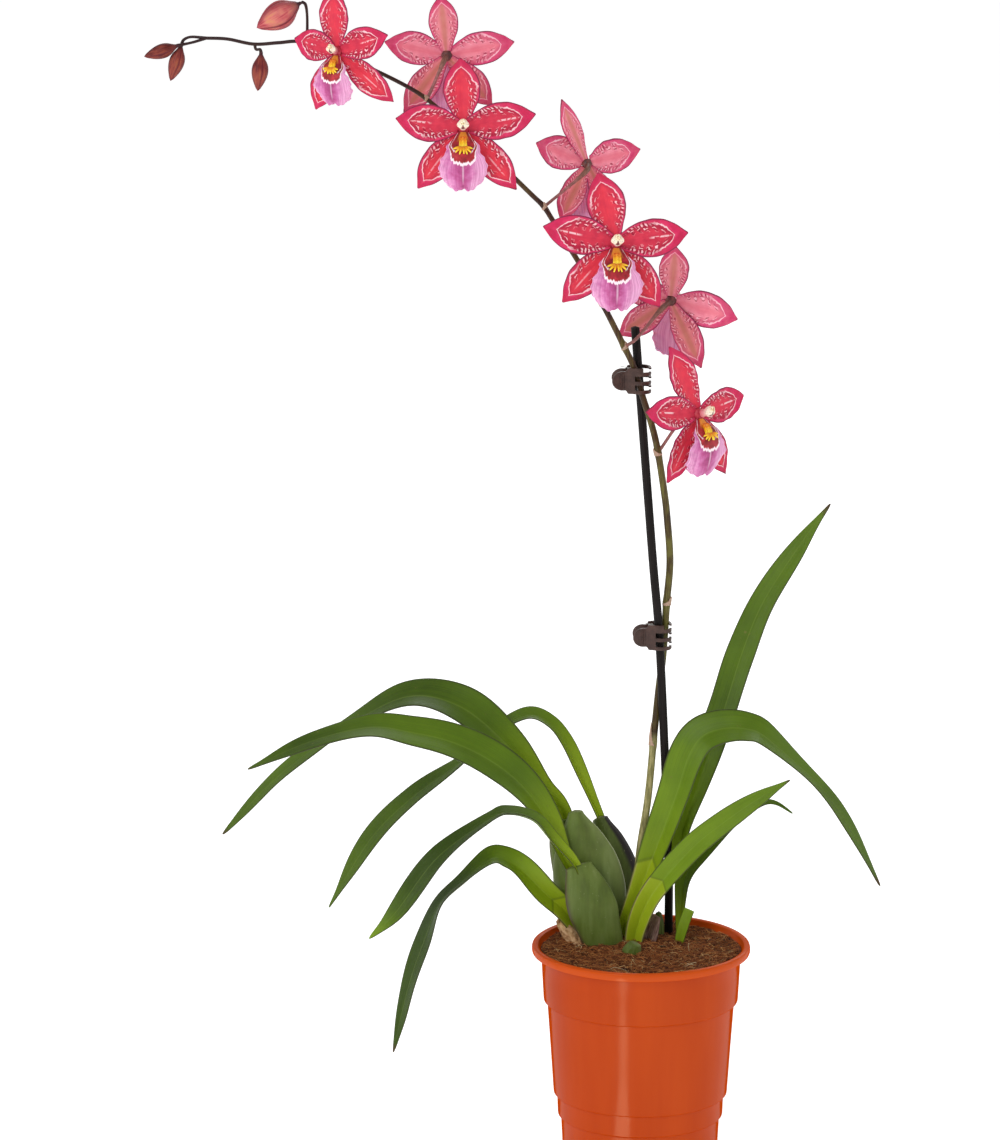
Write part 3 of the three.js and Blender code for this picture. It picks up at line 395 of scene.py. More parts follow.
# ---- The pseudobulbs: the plant's swollen, flattened stems ---------------------------------------------
# Each holds water for the leaves on its top. Old ones are grey-green, with shallow ribs that show as they
# shrink; their sharp edges turn mauve in strong light, and a dropped leaf leaves a flat, corky scar.
# at and top are the ends of the axis; widths and depths are the half sizes along it.
BULBS = {
    "bulb_front": dict(
        at=(-17.5, 9.5, 114), top=(-34.5, 9.5, 166.5), tone=0.55, edge=0.8, right_highlight=0.1,
        widths=(9, 11, 12.3, 13.7, 13, 10.6, 7.4), depths=(4, 5.6, 6, 5.8, 5, 4, 2.6),
    ),
    "bulb_tall": dict(
        at=(-21, 26, 114), top=(-36, 25, 193), tone=0.45, edge=0.25, right_highlight=0.9,
        widths=(10, 15, 18.7, 19.6, 17.4, 11.8, 4), depths=(5, 7.2, 8, 8, 7, 5.4, 3),
    ),
    "bulb_left": dict(
        at=(-29, 35, 114), top=(-45, 31, 186), tone=0.3, edge=0.5, right_highlight=0.2,
        widths=(4, 6, 8.5, 9.8, 9.5, 8, 4.6), depths=(3, 4, 5, 5, 4.6, 3.6, 2.4),
    ),
    "bulb_back": dict(
        at=(2, 44, 114), top=(-22, 45, 184), tone=0.1, edge=0, right_highlight=0,
        widths=(6, 9, 10.5, 11.5, 11, 8.5, 4.2), depths=(3.6, 5, 5.6, 5.6, 5, 4.2, 2.8),
    ),
    "bulb_stub_back": dict(
        at=(9.6, 28.5, 115), top=(10.5, 28.5, 134), tone=0.5, edge=0.3, right_highlight=0,
        widths=(2.4, 3.4, 3.6, 3.6, 3.2, 2.6, 1.6), depths=(2, 2.6, 2.8, 2.8, 2.6, 2, 1.4),
    ),
    "bulb_cut_front": dict(
        at=(-7.5, -6, 117), top=(-3.5, -8, 127), tone=0.4, edge=0.2, right_highlight=0.6,
        widths=(3, 4.4, 5, 5.2, 5, 4.4, 3.6), depths=(2.4, 3.4, 4, 4.2, 4, 3.6, 3),
    ),
    "bulb_dry_left": dict(
        at=(-33, 9, 120), top=(-45, 24, 131), tone=0, edge=0, right_highlight=0,
        widths=(2, 3.2, 4, 4.2, 3.8, 3, 1.8), depths=(1.8, 2.6, 3.2, 3.4, 3, 2.4, 1.6),
    ),
}


def through(values, v):
    """A value that runs smoothly through evenly spaced ones, at v from 0 to 1."""
    last = len(values) - 1
    i = min(int(v * last), last - 1)
    t = v * last - i
    a, b, c, d = (values[max(0, min(last, k))] for k in (i - 1, i, i + 1, i + 2))
    low, high = (c - a) / 2, (d - b) / 2
    return (2 * t**3 - 3 * t * t + 1) * b + (t**3 - 2 * t * t + t) * low + (3 * t * t - 2 * t**3) * c \
        + (t**3 - t * t) * high


def flattened_bulb(name, at, top, widths, depths, ribs, wrinkle):
    """A bulb with sharp sides, shallow ribs on both faces and a small flat top."""
    start, axis = Vector(at), Vector(top) - Vector(at)
    length = axis.length
    axis.normalize()
    side = (Vector((1, 0, 0)) - axis * axis.x).normalized()
    front = axis.cross(side)
    seed = at[0] * 0.7

    def place(u, v):
        angle = 2 * math.pi * u
        end = 0.045
        share = max(0, min(1, (v - end) / (1 - 2 * end)))
        closing = min(1, v / end, ((1 - v) / end) ** 0.8)
        x, y = math.cos(angle), math.sin(angle)
        lens = math.copysign(abs(y) ** 1.3, y)
        middle = x - 0.05 * math.sin(5 * share)
        ridge = sum(math.exp(-(((middle - spot) / 0.07) ** 2)) for spot in (-0.42, 0.12, 0.6))
        body = ribs * ridge * math.sin(math.pi * share) ** 0.6 * (1 if y > 0 else -1)
        rough = wrinkle * noise.noise(Vector((x * 3 + seed, y * 2, share * 5)))
        far = length * share + (1.1 * (1 - closing) if v > 0.5 else -1.1 * (1 - closing))
        return start + axis * far + side * (through(widths, share) * x * closing + rough) \
            + front * ((through(depths, share) * lens + body + rough) * closing)

    piece = grid(name, 56, 64, place, wrapped=True)
    smoothed(piece, 50)
    return piece


def bulb_skin(name, tone, edge, right_highlight):
    """Waxy skin over ribs: grey-green with long streaks and pale specks, mauve where an edge meets light, and
    a painted highlight down its right-hand side.
    """
    skin, add = finish(name, Roughness=0.45, IOR=1.42, Specular_IOR_Level=0.3)
    around = add("SeparateXYZ", add("UVMap", uv_map="UVMap"))
    where = add("TexCoord", out="Object")
    streaks = add("TexNoise", add("Mapping", where, Scale=(170, 170, 26)), 1, 5)
    greens = ("#46531f", "#586a29", "#74834a") if tone > 0.25 else ("#3a4618", "#4a5724", "#5f6f33")
    colour = add("ValToRGB", streaks, *zip((0.25, 0.5, 0.8), greens))
    blotches, pits = add("TexNoise", where, 90, 3), add("TexNoise", where, 900, 3)
    left = add("Math ABSOLUTE", add("Math SUBTRACT", around, 0.5))
    right = add("Math ABSOLUTE", add("Math SUBTRACT", left, 0.5))
    layers = [
        (add("MapRange", blotches, 0.45, 0.7, 0, 0.5 * tone), "#77823e"),
        (add("MapRange SMOOTHSTEP", left, 0.12, 0.02, 0, edge), "#4a2d33"),
        # A painted highlight: the right-hand side is painted paler where the light falls on it, and its sharp
        # edge paler still.
        (add("MapRange SMOOTHSTEP", right, 0.2, 0.06, 0, 0.45 * right_highlight), "#8e9a66"),
        (add("MapRange SMOOTHSTEP", right, 0.035, 0.01, 0, right_highlight), "#bcc398"),
    ]
    if tone < 0.2:
        # The back bulb has turned purple-black where the sun reaches it, on its right.
        layers.append((add("MapRange SMOOTHSTEP", right, 0.17, 0.12), "#211a1a"))
    # The very top is corky, and pale specks lie over all.
    layers.append((add("MapRange", around.node.outputs[1], 0.965, 0.985, 0, 0.7), "#6f7350"))
    layers.append((add("MapRange", pits, 0.68, 0.74, 0, 0.35), "#a3a67c"))
    for mask, over in layers:
        colour = add("Mix RGBA", mask, colour, over)
    coat(skin, Base_Color=colour, Normal=add("Bump", Height=streaks, Strength=0.2, Distance=0.0006))
    return skin


for name, bulb in BULBS.items():
    # The third share is a painted highlight on the bulb's right side and its sharp edge.
    tone, edge, right_highlight = bulb.pop("tone"), bulb.pop("edge"), bulb.pop("right_highlight")
    dry = name == "bulb_dry_left"
    piece = flattened_bulb(name + "_skin", **bulb, ribs=0.2 if dry else 0.4, wrinkle=0.8 if dry else 0.14)
    if dry:
        # A shrivelled old bulb: papery, straw-coloured, with brown lengthwise creases.
        husk, add = finish("dry_husk", Roughness=0.85, Specular_IOR_Level=0.25)
        lengthwise = add("Mapping", add("TexCoord", out="Object"), Scale=(500, 160, 500))
        creases = add("TexNoise", lengthwise, 1, 6)
        straw = add("ValToRGB", creases, (0.3, "#6b4528"), (0.48, "#b08860"), (0.7, "#d6b48c"))
        coat(husk, Base_Color=straw, Normal=add("Bump", Height=creases, Strength=0.8, Distance=0.0008))
        piece.data.materials.append(husk)
    else:
        piece.data.materials.append(bulb_skin(name + "_wax", tone, edge, right_highlight))
    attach(piece, "plant")
    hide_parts(name)

# ---- The leaves: leathery straps from the bulbs' tops and from the new growths -------------------------
# Each is folded along its midrib at the base, where it clasps the growth, and opens towards the tip. The
# upper face is glossy mid green with fine veins along it, the underside paler and dull, the edge dark.
# route runs from base to tip, shares of the width and turns run along it (turn 0 shows the face, 90 the
# edge), tone is how light the green is along it, partly its own colour and partly painted light and shade,
# higher where a stretch is lit and lower where it lies in shade, and dry is how much of the tip has withered.
LEAVES = {
    "leaf_upper_left": dict(
        route=[(-36, 30, 178), (-44, 32, 195), (-54, 34, 205), (-71, 37, 228), (-97, 41, 250),
               (-125, 46, 256), (-153, 49, 243), (-198, 50, 210), (-232, 47, 174)],
        width=27, shares=(0.42, 0.62, 0.88, 1, 0.9, 0.62, 0.55, 0.42, 0.07),
        turns=(-25, -30, -42, -68, -75, -66, -50), tone=(0.6, 0.5, 0.35, 0.12, 0.3, 0.35, 0.25), dry=0.014,
    ),
    "leaf_mid_left": dict(
        route=[(-33, 16, 154), (-41, 16, 170), (-50, 15, 192), (-64, 14, 212), (-83, 14, 227),
               (-104, 14, 237), (-125, 14, 242), (-149, 14, 245), (-181, 12, 237), (-216, 10, 221)],
        width=24, shares=(0.4, 0.62, 0.9, 1, 1, 0.9, 0.75, 0.5, 0.08),
        turns=(-30, -34, -38, -48, -62, -66, -55), tone=(0.6, 0.5, 0.42, 0.42, 0.4, 0.15, 0.3), dry=0.014,
    ),
    "leaf_rear_left": dict(
        route=[(-21, 44, 184), (-31, 46, 208), (-40, 49, 227), (-49, 52, 238), (-62, 56, 242), (-80, 58, 232),
               (-99, 56, 215), (-127, 52, 195), (-150, 48, 172), (-173, 42, 133)],
        width=19, shares=(0.42, 0.6, 0.72, 0.75, 0.8, 0.95, 1, 0.7, 0.07),
        turns=(-35, -48, -74, -82, -68, -60, -50), tone=(0.4, 0.45, 0.4, 0.3, 0.25, 0.3, 0.4),
    ),
    "leaf_low_left": dict(
        route=[(-31, 9, 158), (-36, 6, 170), (-47, 3, 184), (-55, 0, 195), (-62, -3, 200), (-72, -7, 203),
               (-82, -11, 201), (-112, -19, 180), (-135, -24, 149), (-149, -26, 135)],
        width=17, shares=(0.4, 0.55, 0.7, 0.85, 1, 1, 0.95, 0.7, 0.12),
        turns=(-35, -60, -82, -82, -58, -46, -38), tone=(0.8, 0.5, 0.3, 0, -0.05, 0.1, 0.9),
    ),
    "leaf_drooping_left": dict(
        route=[(-31, 18, 125), (-42, 15.5, 140), (-52, 14, 150), (-65, 10, 166), (-75, 6, 173), (-84, 2, 174),
               (-99, -5, 163), (-112, -10, 151), (-120, -15, 131), (-128, -20, 107), (-136, -25, 70)],
        width=18, shares=(1, 0.98, 0.98, 1, 0.95, 0.95, 0.85, 0.6, 0.07),
        turns=(-12, -24, -62, -84, -64, -55, -45), tone=(1.15, 1.05, 0.75, 0.02, -0.02, 0.05, 0),
        dry=0.018, joint=0.13,
    ),
    "leaf_tall_right": dict(
        route=[(21.5, 29, 117), (21.6, 27.5, 150), (21, 27, 179), (30.8, 30, 209.5), (44.8, 36, 248.5),
               (55, 41, 279.5), (67, 45, 307.5), (87.5, 48, 339), (104, 48, 362)],
        width=21, shares=(0.24, 0.4, 0.75, 1, 1, 0.95, 0.8, 0.55, 0.07),
        turns=(40, 40, 42, 42, 40, 35, 30), tone=(1.5, 1.6, 1, 0.4, 0.35, 0.4, 0.45), dry=0.02,
    ),
    "leaf_arching_right": dict(
        route=[(-12, 16, 121), (-8.5, 15.5, 133), (-3, 14, 147), (6, 14, 173), (17, 14.5, 205), (24, 15, 227),
               (32, 16, 239), (45, 16, 244), (59, 14, 244), (70, 12, 239), (97, 7, 214), (114, 3, 191),
               (131, -2, 158)],
        width=24, shares=(0.45, 0.66, 0.86, 1, 1, 0.85, 0.62, 0.48, 0.07),
        turns=(15, 25, 38, 44, 70, 68, 55), tone=(0.8, 0.7, 0.7, 0.45, 0.45, 0.35, 0.3), dry=0.03, joint=0.19,
    ),
    "leaf_low_right": dict(
        route=[(-4.5, 7, 117), (-3, 7, 130), (3, 6, 147), (13, 4, 162), (27, 0, 179), (39, -5, 191),
               (58, -12, 207), (80, -20, 223)],
        width=15, shares=(1, 1.05, 1, 1, 0.98, 0.88, 0.6, 0.08),
        turns=(8, 18, 28, 30, 35, 40, 45), tone=(1.15, 1, 0.8, 0.7, 0.6, 0.5), dry=0.012, joint=0.32,
    ),
    "leaf_back_right": dict(
        route=[(21.5, 22, 117), (22, 22, 143), (24, 21, 158), (31, 19, 170), (47, 14, 188), (64, 10, 201),
               (73, 8, 203), (83, 6, 197)],
        width=13, shares=(0.4, 0.6, 0.85, 1, 0.9, 0.6, 0.3, 0.08),
        turns=(30, 35, 40, 40, 45, 55, 60), tone=(0.6, 0.5, 0.4, 0.3),
    ),
    "leaf_stub": dict(
        route=[(20.5, 13, 117), (21.8, 13.5, 124), (24, 14, 132), (27, 15, 140)],
        width=6.4, shares=(0.9, 1, 1), turns=(20, 20, 20), tone=(0.95, 0.95),
    ),
    "sheath_dry": dict(
        route=[(1.5, 12.5, 117), (4, 13, 126), (8.5, 13.5, 137)],
        width=12, shares=(0.9, 1, 0.55), turns=(15, 20, 30), tone=(0, 0), dry=1,
    ),
}
FOLDS = (52, 38, 24, 17, 14, 12, 10)
MIDRIB, MARGIN, COLUMNS = 1.7, 0.7, 12


class Route:
    """A smooth line through points, read by the share of its length."""

    def __init__(self, points):
        marks = [Vector(p) for p in points]
        marks = [2 * marks[0] - marks[1], *marks, 2 * marks[-1] - marks[-2]]
        self.marks = [marks[1]]
        for a, b, c, d in zip(marks, marks[1:], marks[2:], marks[3:]):
            for k in range(1, 21):
                self.marks.append(Vector([through(four, (1 + k / 20) / 3) for four in zip(a, b, c, d)]))
        self.far = [0]
        for a, b in zip(self.marks, self.marks[1:]):
            self.far.append(self.far[-1] + (b - a).length)

    def at(self, v):
        goal = v * self.far[-1]
        i = max(0, min(bisect.bisect_right(self.far, goal) - 1, len(self.marks) - 2))
        return self.marks[i].lerp(self.marks[i + 1], (goal - self.far[i]) / (self.far[i + 1] - self.far[i]))

    def heading(self, v):
        return (self.at(min(1, v + 0.004)) - self.at(max(0, v - 0.004))).normalized()


def note(piece, key, values):
    """Keeps a value for each point of a piece, which its material reads."""
    piece.data.attributes.new(key, "FLOAT", "POINT").data.foreach_set("value", values)


def fleshed(piece, thickness, **settings):
    """Gives a surface its thickness and rounds it."""
    worked(piece, "SOLIDIFY", thickness=thickness * MM, offset=0, material_offset=1, **settings)
    worked(piece, "SUBSURF", levels=1, render_levels=1)
    smoothed(piece, 80)


def strap(name, skins, route, width, shares, turns, tone, dry=0, joint=0):
    """A leaf blade: a grooved midrib, lightly waved margins, thin at the edge and thick along the middle."""
    line = Route(route)
    long = line.far[-1]
    last = None if name in ("leaf_stub", "sheath_dry") else 0.985

    def place(u, v):
        s = 1 - 2 * u
        along = line.heading(v)
        depth = (Vector((0, 1, 0)) - along * along.y).normalized()
        height = along.cross(depth)
        turn, fold = math.radians(through(turns, v)), math.radians(through(FOLDS, v))
        side = height * math.cos(turn) + depth * math.sin(turn)
        face = along.cross(side)
        half = width / 2 * through(shares, v)
        if last and v > last:
            half *= max(0.3, math.sqrt(1 - ((v - last) / (1 - last)) ** 2))
        keel = math.sqrt(s * s + 0.006) - 0.077 * (1 - abs(s))
        wave = 0.35 * s * s * math.sin(v * long / 9 + 2 * s) * min(1, 4 * v)
        curl = -0.05 * half * max(0, abs(s) - 0.6)
        return line.at(v) + side * (s * half * math.cos(fold)) \
            + face * ((keel - 1) * half * math.sin(fold) + wave + curl)

    rows = max(16, round(long / 3.2))
    piece = grid(name + "_blade", COLUMNS, rows, place, skins=skins)
    thickness, tones = piece.vertex_groups.new(name="thickness"), []
    for i in range(len(piece.data.vertices)):
        s, v = abs(2 * (i % (COLUMNS + 1)) / COLUMNS - 1), i // (COLUMNS + 1) / rows
        share = (MARGIN + (MIDRIB - MARGIN) * (1 - s) * (1 - 0.4 * v)) / MIDRIB
        thickness.add([i], share, "REPLACE")
        tones.append(through(tone, v))
    note(piece, "tone", tones)
    note(piece, "dry", [dry] * len(tones))
    note(piece, "joint", [joint] * len(tones))
    fleshed(piece, MIDRIB, vertex_group="thickness")
    return piece


def own_map(add):
    """A piece's own map: the map, the share along it, the way across from its middle, and how far that is."""
    flat = add("UVMap", uv_map="UVMap")
    across = add("SeparateXYZ", flat)
    centred = add("Math MULTIPLY_ADD", across, 2, -1)
    return flat, across.node.outputs[1], centred, add("Math ABSOLUTE", centred)


def leaf_face(name, deep, light, young, roughness, vein_depth):
    """One face of a leaf, from its own map: U across, V from base to tip."""
    face, add = finish(
        name, IOR=1.42, Specular_IOR_Level=0.22, Subsurface_Weight=0.05, Subsurface_Scale=0.002,
        Subsurface_Radius=(0.4, 1, 0.2),
    )
    flat, along, _, edge = own_map(add)
    tone, dry, joint = (add("Attribute", out="Fac", attribute_name=key) for key in ("tone", "dry", "joint"))
    where = add("TexCoord", out="Object")
    cloud, pits = add("TexNoise", where, 45, 4), add("TexNoise", where, 260, 2)
    veins = add("TexNoise", add("Mapping", flat, Scale=(46, 3, 1)), 1, 3, 0.6)
    for uneven in (cloud, veins):
        tone = add("Math ADD", add("Math MULTIPLY_ADD", uneven, 0.4, -0.2), tone)
    # The tone is partly painted light and shade: lighter where the leaf is lit, darker where it lies in
    # shade.
    colour = add("ValToRGB", tone, (0, deep), (0.5, light), (1, young))
    above = add("Math SUBTRACT", add("Math MULTIPLY_ADD", edge, 0.02, along), joint)
    sheath = add("MapRange", above, 0.004, -0.004)
    cream = add("MapRange", edge, 0.82, 0.93, 0, 0.75)
    for mask, over in (
        # The base is yellow-green and painted bright: partly its own colour, partly painted light that lifts
        # the shade in its fold.
        (add("MapRange SMOOTHSTEP", along, 0.32, 0.05, 0, 0.9), "#8ca216"),
        # A sheath below the blade is yellower, with a cream edge, and a thin line shows where they join.
        (add("Math MULTIPLY", sheath, 0.5), "#a8b824"),
        (add("Math MULTIPLY", cream, sheath), "#b8b066"),
        (add("MapRange", add("Math ABSOLUTE", above), 0.006, 0.002, 0, 0.55), "#56691a"),
        # The midrib is a paler line and the margin a thin dark one, and small brown flecks lie over all.
        (add("MapRange SMOOTHSTEP", edge, 0.07, 0.01, 0, 0.16), "#8aa04c"),
        (add("MapRange", edge, 0.88, 0.97, 0, 0.8), "#33351f"),
        (add("MapRange", pits, 0.72, 0.78, 0, 0.55), "#6f6a33"),
    ):
        colour = add("Mix RGBA", mask, colour, over)
    # The tip is withered, with a ragged border.
    ragged = add("Math ADD", along, add("Math MULTIPLY_ADD", cloud, 0.05, -0.025))
    withered = add("MapRange", add("Math ADD", ragged, dry), 0.995, 1.015)
    husk = add("ValToRGB", veins, (0.3, "#2a2019"), (0.6, "#5b4a34"))
    coat(
        face, Base_Color=add("Mix RGBA", withered, colour, husk),
        Roughness=add("MapRange", withered, 0, 1, roughness, 0.85),
        Normal=add("Bump", Height=veins, Strength=vein_depth, Distance=0.0005),
    )
    return face


leaf_upper = leaf_face("leaf_upper_face", "#31450c", "#557013", "#7d9a1d", 0.36, 0.3)
leaf_under = leaf_face("leaf_underside", "#41551b", "#647b2e", "#889f3e", 0.55, 0.4)
# The sheath at the foot of a growth is dead tissue: thin, papery, mauve-brown and creased along its length.
paper_sheath, add = finish("papery_sheath", Roughness=0.8, Specular_IOR_Level=0.3)
creases = add("TexNoise", add("Mapping", add("UVMap", uv_map="UVMap"), Scale=(30, 4, 1)), 1, 5)
mauve = add("ValToRGB", creases, (0.3, "#4a302c"), (0.5, "#80625a"), (0.75, "#b09a8a"))
coat(paper_sheath, Base_Color=mauve, Normal=add("Bump", Height=creases, Strength=0.7, Distance=0.0006))
for name, leaf in LEAVES.items():
    dead = name == "sheath_dry"
    piece = strap(name, (paper_sheath, paper_sheath) if dead else (leaf_upper, leaf_under), **leaf)
    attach(piece, "plant")
    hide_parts(name)

# ---- The flower spike: one arching stem with its bracts, and a stalk to each bloom ---------------------
# It rises from the foot of the newest bulb, olive-brown below and plum-brown above. A papery bract clasps
# it at each node, and a ribbed stalk leaves each of the upper nodes.
SPIKE_ROUTE = [
    (-2, 20, 116), (-2, 20.5, 139), (-0.5, 21, 170), (4, 24, 201), (7.3, 28.6, 236), (9.8, 31.2, 261),
    (11.8, 29.8, 279), (12.9, 28, 296.5), (13.7, 26.2, 312), (15.2, 23, 335), (13.3, 19.5, 361),
    (11.6, 17.5, 375), (8.1, 14.5, 397), (5, 12.8, 411), (-0.3, 10.8, 428), (-2.9, 10.2, 437),
    (-5.8, 9.8, 446), (-10.6, 9.6, 456), (-19.5, 9, 474), (-29, 8, 492), (-49, 5, 525), (-54, 4.5, 533),
    (-60, 4, 539), (-68, 3, 547), (-88, 1, 567), (-112, -1, 588), (-126, -2, 598), (-152, -3, 611),
    (-168, -4, 617), (-183, -4, 622.5), (-195, -4, 622), (-208, -4, 621.3), (-222, -4, 624),
    (-234, -4, 624.5),
]
STEM_RADII = (2.3, 2, 2, 1.75, 1.4, 1.1, 0.9)
TWIGS = [
    [(-233, -4, 624.5), (-241, -3, 625), (-245, -3, 623.5), (-246.2, -3, 621)],
    [(-233, -4, 624.5), (-240, -5, 622.4), (-247.5, -6, 620.9)],
    [(-180, -4, 621.5), (-179.6, -4, 628), (-179.6, -4, 637), (-180.5, -4, 642.5), (-182.6, -4, 643.6)],
    [(-207.5, -4, 621.5), (-206.8, -4.5, 618.6), (-204.6, -5, 618.6), (-204.2, -5, 617.2)],
]
HUB_RADIUS, HUB_DEPTH = 3.2, 0.85


def tube(name, route, radii, around, along, ribs=0, dome=0.3):
    """A stem of round section along a route, its frame carried along without twist."""
    line = Route(route)
    rows, across = [], None
    for i in range(along + 1):
        v = max(0, min(1, (i - 1) / (along - 2)))
        heading = line.heading(v)
        across = Vector((0, 0.2, 1)).cross(heading) if across is None else across
        across = (across - heading * across.dot(heading)).normalized()
        radius = radii(v) if callable(radii) else through(radii, v)
        middle = line.at(v)
        if i in (0, along):
            middle, radius = middle + heading * (dome * radius * (1 if i else -1)), 0
        rows.append((middle, across.copy(), heading.cross(across), radius, v))

    def place(u, v):
        middle, one, other, radius, far = rows[round(v * along)]
        angle = 2 * math.pi * u
        radius *= 1 + ribs * math.cos(6 * angle)
        return middle + one * (radius * math.cos(angle)) + other * (radius * math.sin(angle))

    piece = grid(name, around, along, place, wrapped=True)
    smoothed(piece, 60)
    return piece


def joined(pieces, name):
    """Pieces as one object."""
    only(*pieces)
    bpy.ops.object.join()
    pieces[0].name = name
    return pieces[0]


spike_line = Route(SPIKE_ROUTE)


def share_at(height):
    """Where along the spike, from 0 to 1, a height is reached."""
    return min((k / 2000 for k in range(2001)), key=lambda v: abs(spike_line.at(v).z - height))


# Heights of the nodes: the lower ones bare, the upper ones each with the stalk of a bloom.
LOW_NODES, BLOOM_NODES = (152, 231, 311), (397, 456, 480, 533, 570.5, 592, 614.5)
node_shares = [share_at(z) for z in (*LOW_NODES, *BLOOM_NODES)]


def spike_radius(v):
    """The stem's radius, which swells a little at each node."""
    swell = sum(math.exp(-(((v - spot) / 0.004) ** 2)) for spot in node_shares)
    return through(STEM_RADII, v) * (1 + 0.16 * swell)


stem = tube("spike_stem", SPIKE_ROUTE, spike_radius, 16, 460)
twigs = [tube(f"twig_{i}", twig, (0.9, 0.8, 0.75, 0.95), 10, 24) for i, twig in enumerate(TWIGS)]
stem = joined([stem, *twigs], "spike_stem")

# Olive-brown below, plum-brown above and darkest at the young tip, with fine streaks along it. Below the
# second node the stem is wrapped in a pale, yellow-green sheath.
stem_skin, add = finish("spike_skin", Roughness=0.42, IOR=1.42, Specular_IOR_Level=0.3)
where = add("TexCoord", out="Object")
height = add("SeparateXYZ", where, out=2)
streaks = add("TexNoise", add("Mapping", where, Scale=(900, 900, 60)), 1, 4)
brown = add("MapRange", add("Math ADD", add("TexNoise", where, 60, 2), streaks), 0.7, 1.3)
skin = add("ValToRGB", brown, (0.15, "#5f5a26"), (0.5, "#463818"), (0.85, "#32220f"))
plum = add("ValToRGB", brown, (0.15, "#54421f"), (0.5, "#41271a"), (0.85, "#2f1712"))
sheath = add("ValToRGB", streaks, (0.3, "#5f5a34"), (0.5, "#847e4e"), (0.75, "#b3a776"))
for mask, over in (
    (add("MapRange", height, 0.36, 0.5), plum),
    (add("MapRange", height, 0.55, 0.612, 0, 0.85), "#2a1518"),
    (add("MapRange", height, 0.238, 0.232), sheath),
):
    skin = add("Mix RGBA", mask, skin, over)
coat(stem_skin, Base_Color=skin, Normal=add("Bump", Height=streaks, Strength=0.3, Distance=0.0003))
stem.data.materials.append(stem_skin)
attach(stem, "plant")
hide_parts("spike")


def bract(name, share, length, away, reach):
    """A papery bract that clasps the stem, longest on the side that away names."""
    heading = spike_line.heading(share)
    out = (away - heading * away.dot(heading)).normalized()
    beside = heading.cross(out)
    radius = through(STEM_RADII, share)

    def place(u, v):
        turn = (2 * u - 1) * reach
        tall = 0.7 + length * max(0, 1 - abs(turn) / reach) ** 1.8
        stand = radius * 1.1 + 0.2 + 0.12 * v * v + 0.06 * math.sin(7 * turn) * v
        direction = out * math.cos(turn) + beside * math.sin(turn)
        far = share + (tall * v - 1) / spike_line.far[-1]
        follows = spike_line.at(max(0, min(1, far)))
        return follows + direction * stand

    piece = grid(name, 22, 8, place)
    worked(piece, "SOLIDIFY", thickness=0.35 * MM, offset=0)
    smoothed(piece, 60)
    return piece


BRACT_LENGTHS = (7, 12, 4.5, 3.6, 3.2, 2.6, 2.6, 2.4, 2.2, 2)
bracts = []
for i, (share, length) in enumerate(zip(node_shares, BRACT_LENGTHS)):
    away = Vector((-1 if i % 2 else 1, -0.5, 0))
    bracts.append(bract(f"bract_{i}", share, length, away, 1.3 if i == 1 else 2.3))
bracts = joined(bracts, "spike_bracts")
papery_bract, add = finish("papery_bract", Roughness=0.75, Specular_IOR_Level=0.3, Subsurface_Weight=0.1)
fibre = add("TexNoise", add("Mapping", add("UVMap", uv_map="UVMap"), Scale=(34, 2.5, 1)), 1, 4)
straw = add("ValToRGB", fibre, (0.3, "#7d5c48"), (0.5, "#b08e78"), (0.75, "#cdb29c"))
coat(papery_bract, Base_Color=straw)
bracts.data.materials.append(papery_bract)
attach(bracts, "plant")
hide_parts("spike")

# ---- The buds: closed sepals round the unopened petals -------------------------------------------------
# Three fleshy sepals meet edge to edge in three seams, brick-maroon with a coppery middle and dark streaks,
# with painted shade darkening the flanks, and a short dark neck joins each bud to its stalk.
BUDS = {
    "bud_large": dict(at=(-183.6, -4, 642.8), tip=(-206.3, -5, 630), radius=7.4, bloom=0.85, turn=-48),
    "bud_hanging": dict(at=(-204.1, -5, 616.6), tip=(-206, -6, 596.5), radius=4.4, bloom=0.12),
    "bud_end_low": dict(at=(-246.4, -3, 620.4), tip=(-252.4, -3, 601.5), radius=4.1, bloom=0.1),
    "bud_end": dict(at=(-248.1, -6, 620.75), tip=(-266, -7, 615), radius=3.9, bloom=-0.05),
}
BUD_SHAPE = (0.2, 0.46, 0.8, 0.98, 1, 0.9, 0.7, 0.42, 0.14)


def closed_bud(name, at, tip, radius, bloom, turn=-24):
    """A bud with a keel along each sepal and a groove along each seam, and its neck."""
    start, axis = Vector(at), Vector(tip) - Vector(at)
    length = axis.length
    axis.normalize()
    side = (Vector((0, 1, 0)) - axis * axis.y).normalized()
    other = axis.cross(side)
    c, s = math.cos(math.radians(turn)), math.sin(math.radians(turn))
    side, other = side * c + other * s, other * c - side * s

    def place(u, v):
        angle = 2 * math.pi * u
        closing = min(1, v / 0.05, ((1 - v) / 0.06) ** 0.7)
        beside = [(angle - math.radians(k) + math.pi) % (2 * math.pi) - math.pi for k in (60, 180, 300)]
        seam = sum(math.exp(-((far / 0.1) ** 2)) for far in beside)
        keel = 0.06 * math.cos(3 * angle)
        r = radius * through(BUD_SHAPE, v) * closing * (1 + keel - 0.12 * seam * (0.3 + 0.7 * v))
        return start + axis * (length * v) + side * (r * math.cos(angle)) + other * (r * math.sin(angle))

    piece = grid(name + "_sepals", 60, 40, place, wrapped=True)
    line = [start - axis * 0.9, start + axis * 0.6, start + axis * 2.6]
    neck = tube(name + "_neck", line, (0.9, 1.05, 0.26 * radius, 0.3 * radius), 16, 10)
    note(piece, "bloom", [bloom] * len(piece.data.vertices))
    note(neck, "bloom", [-1] * len(neck.data.vertices))
    piece = joined([piece, neck], name + "_sepals")
    smoothed(piece, 70)
    return piece


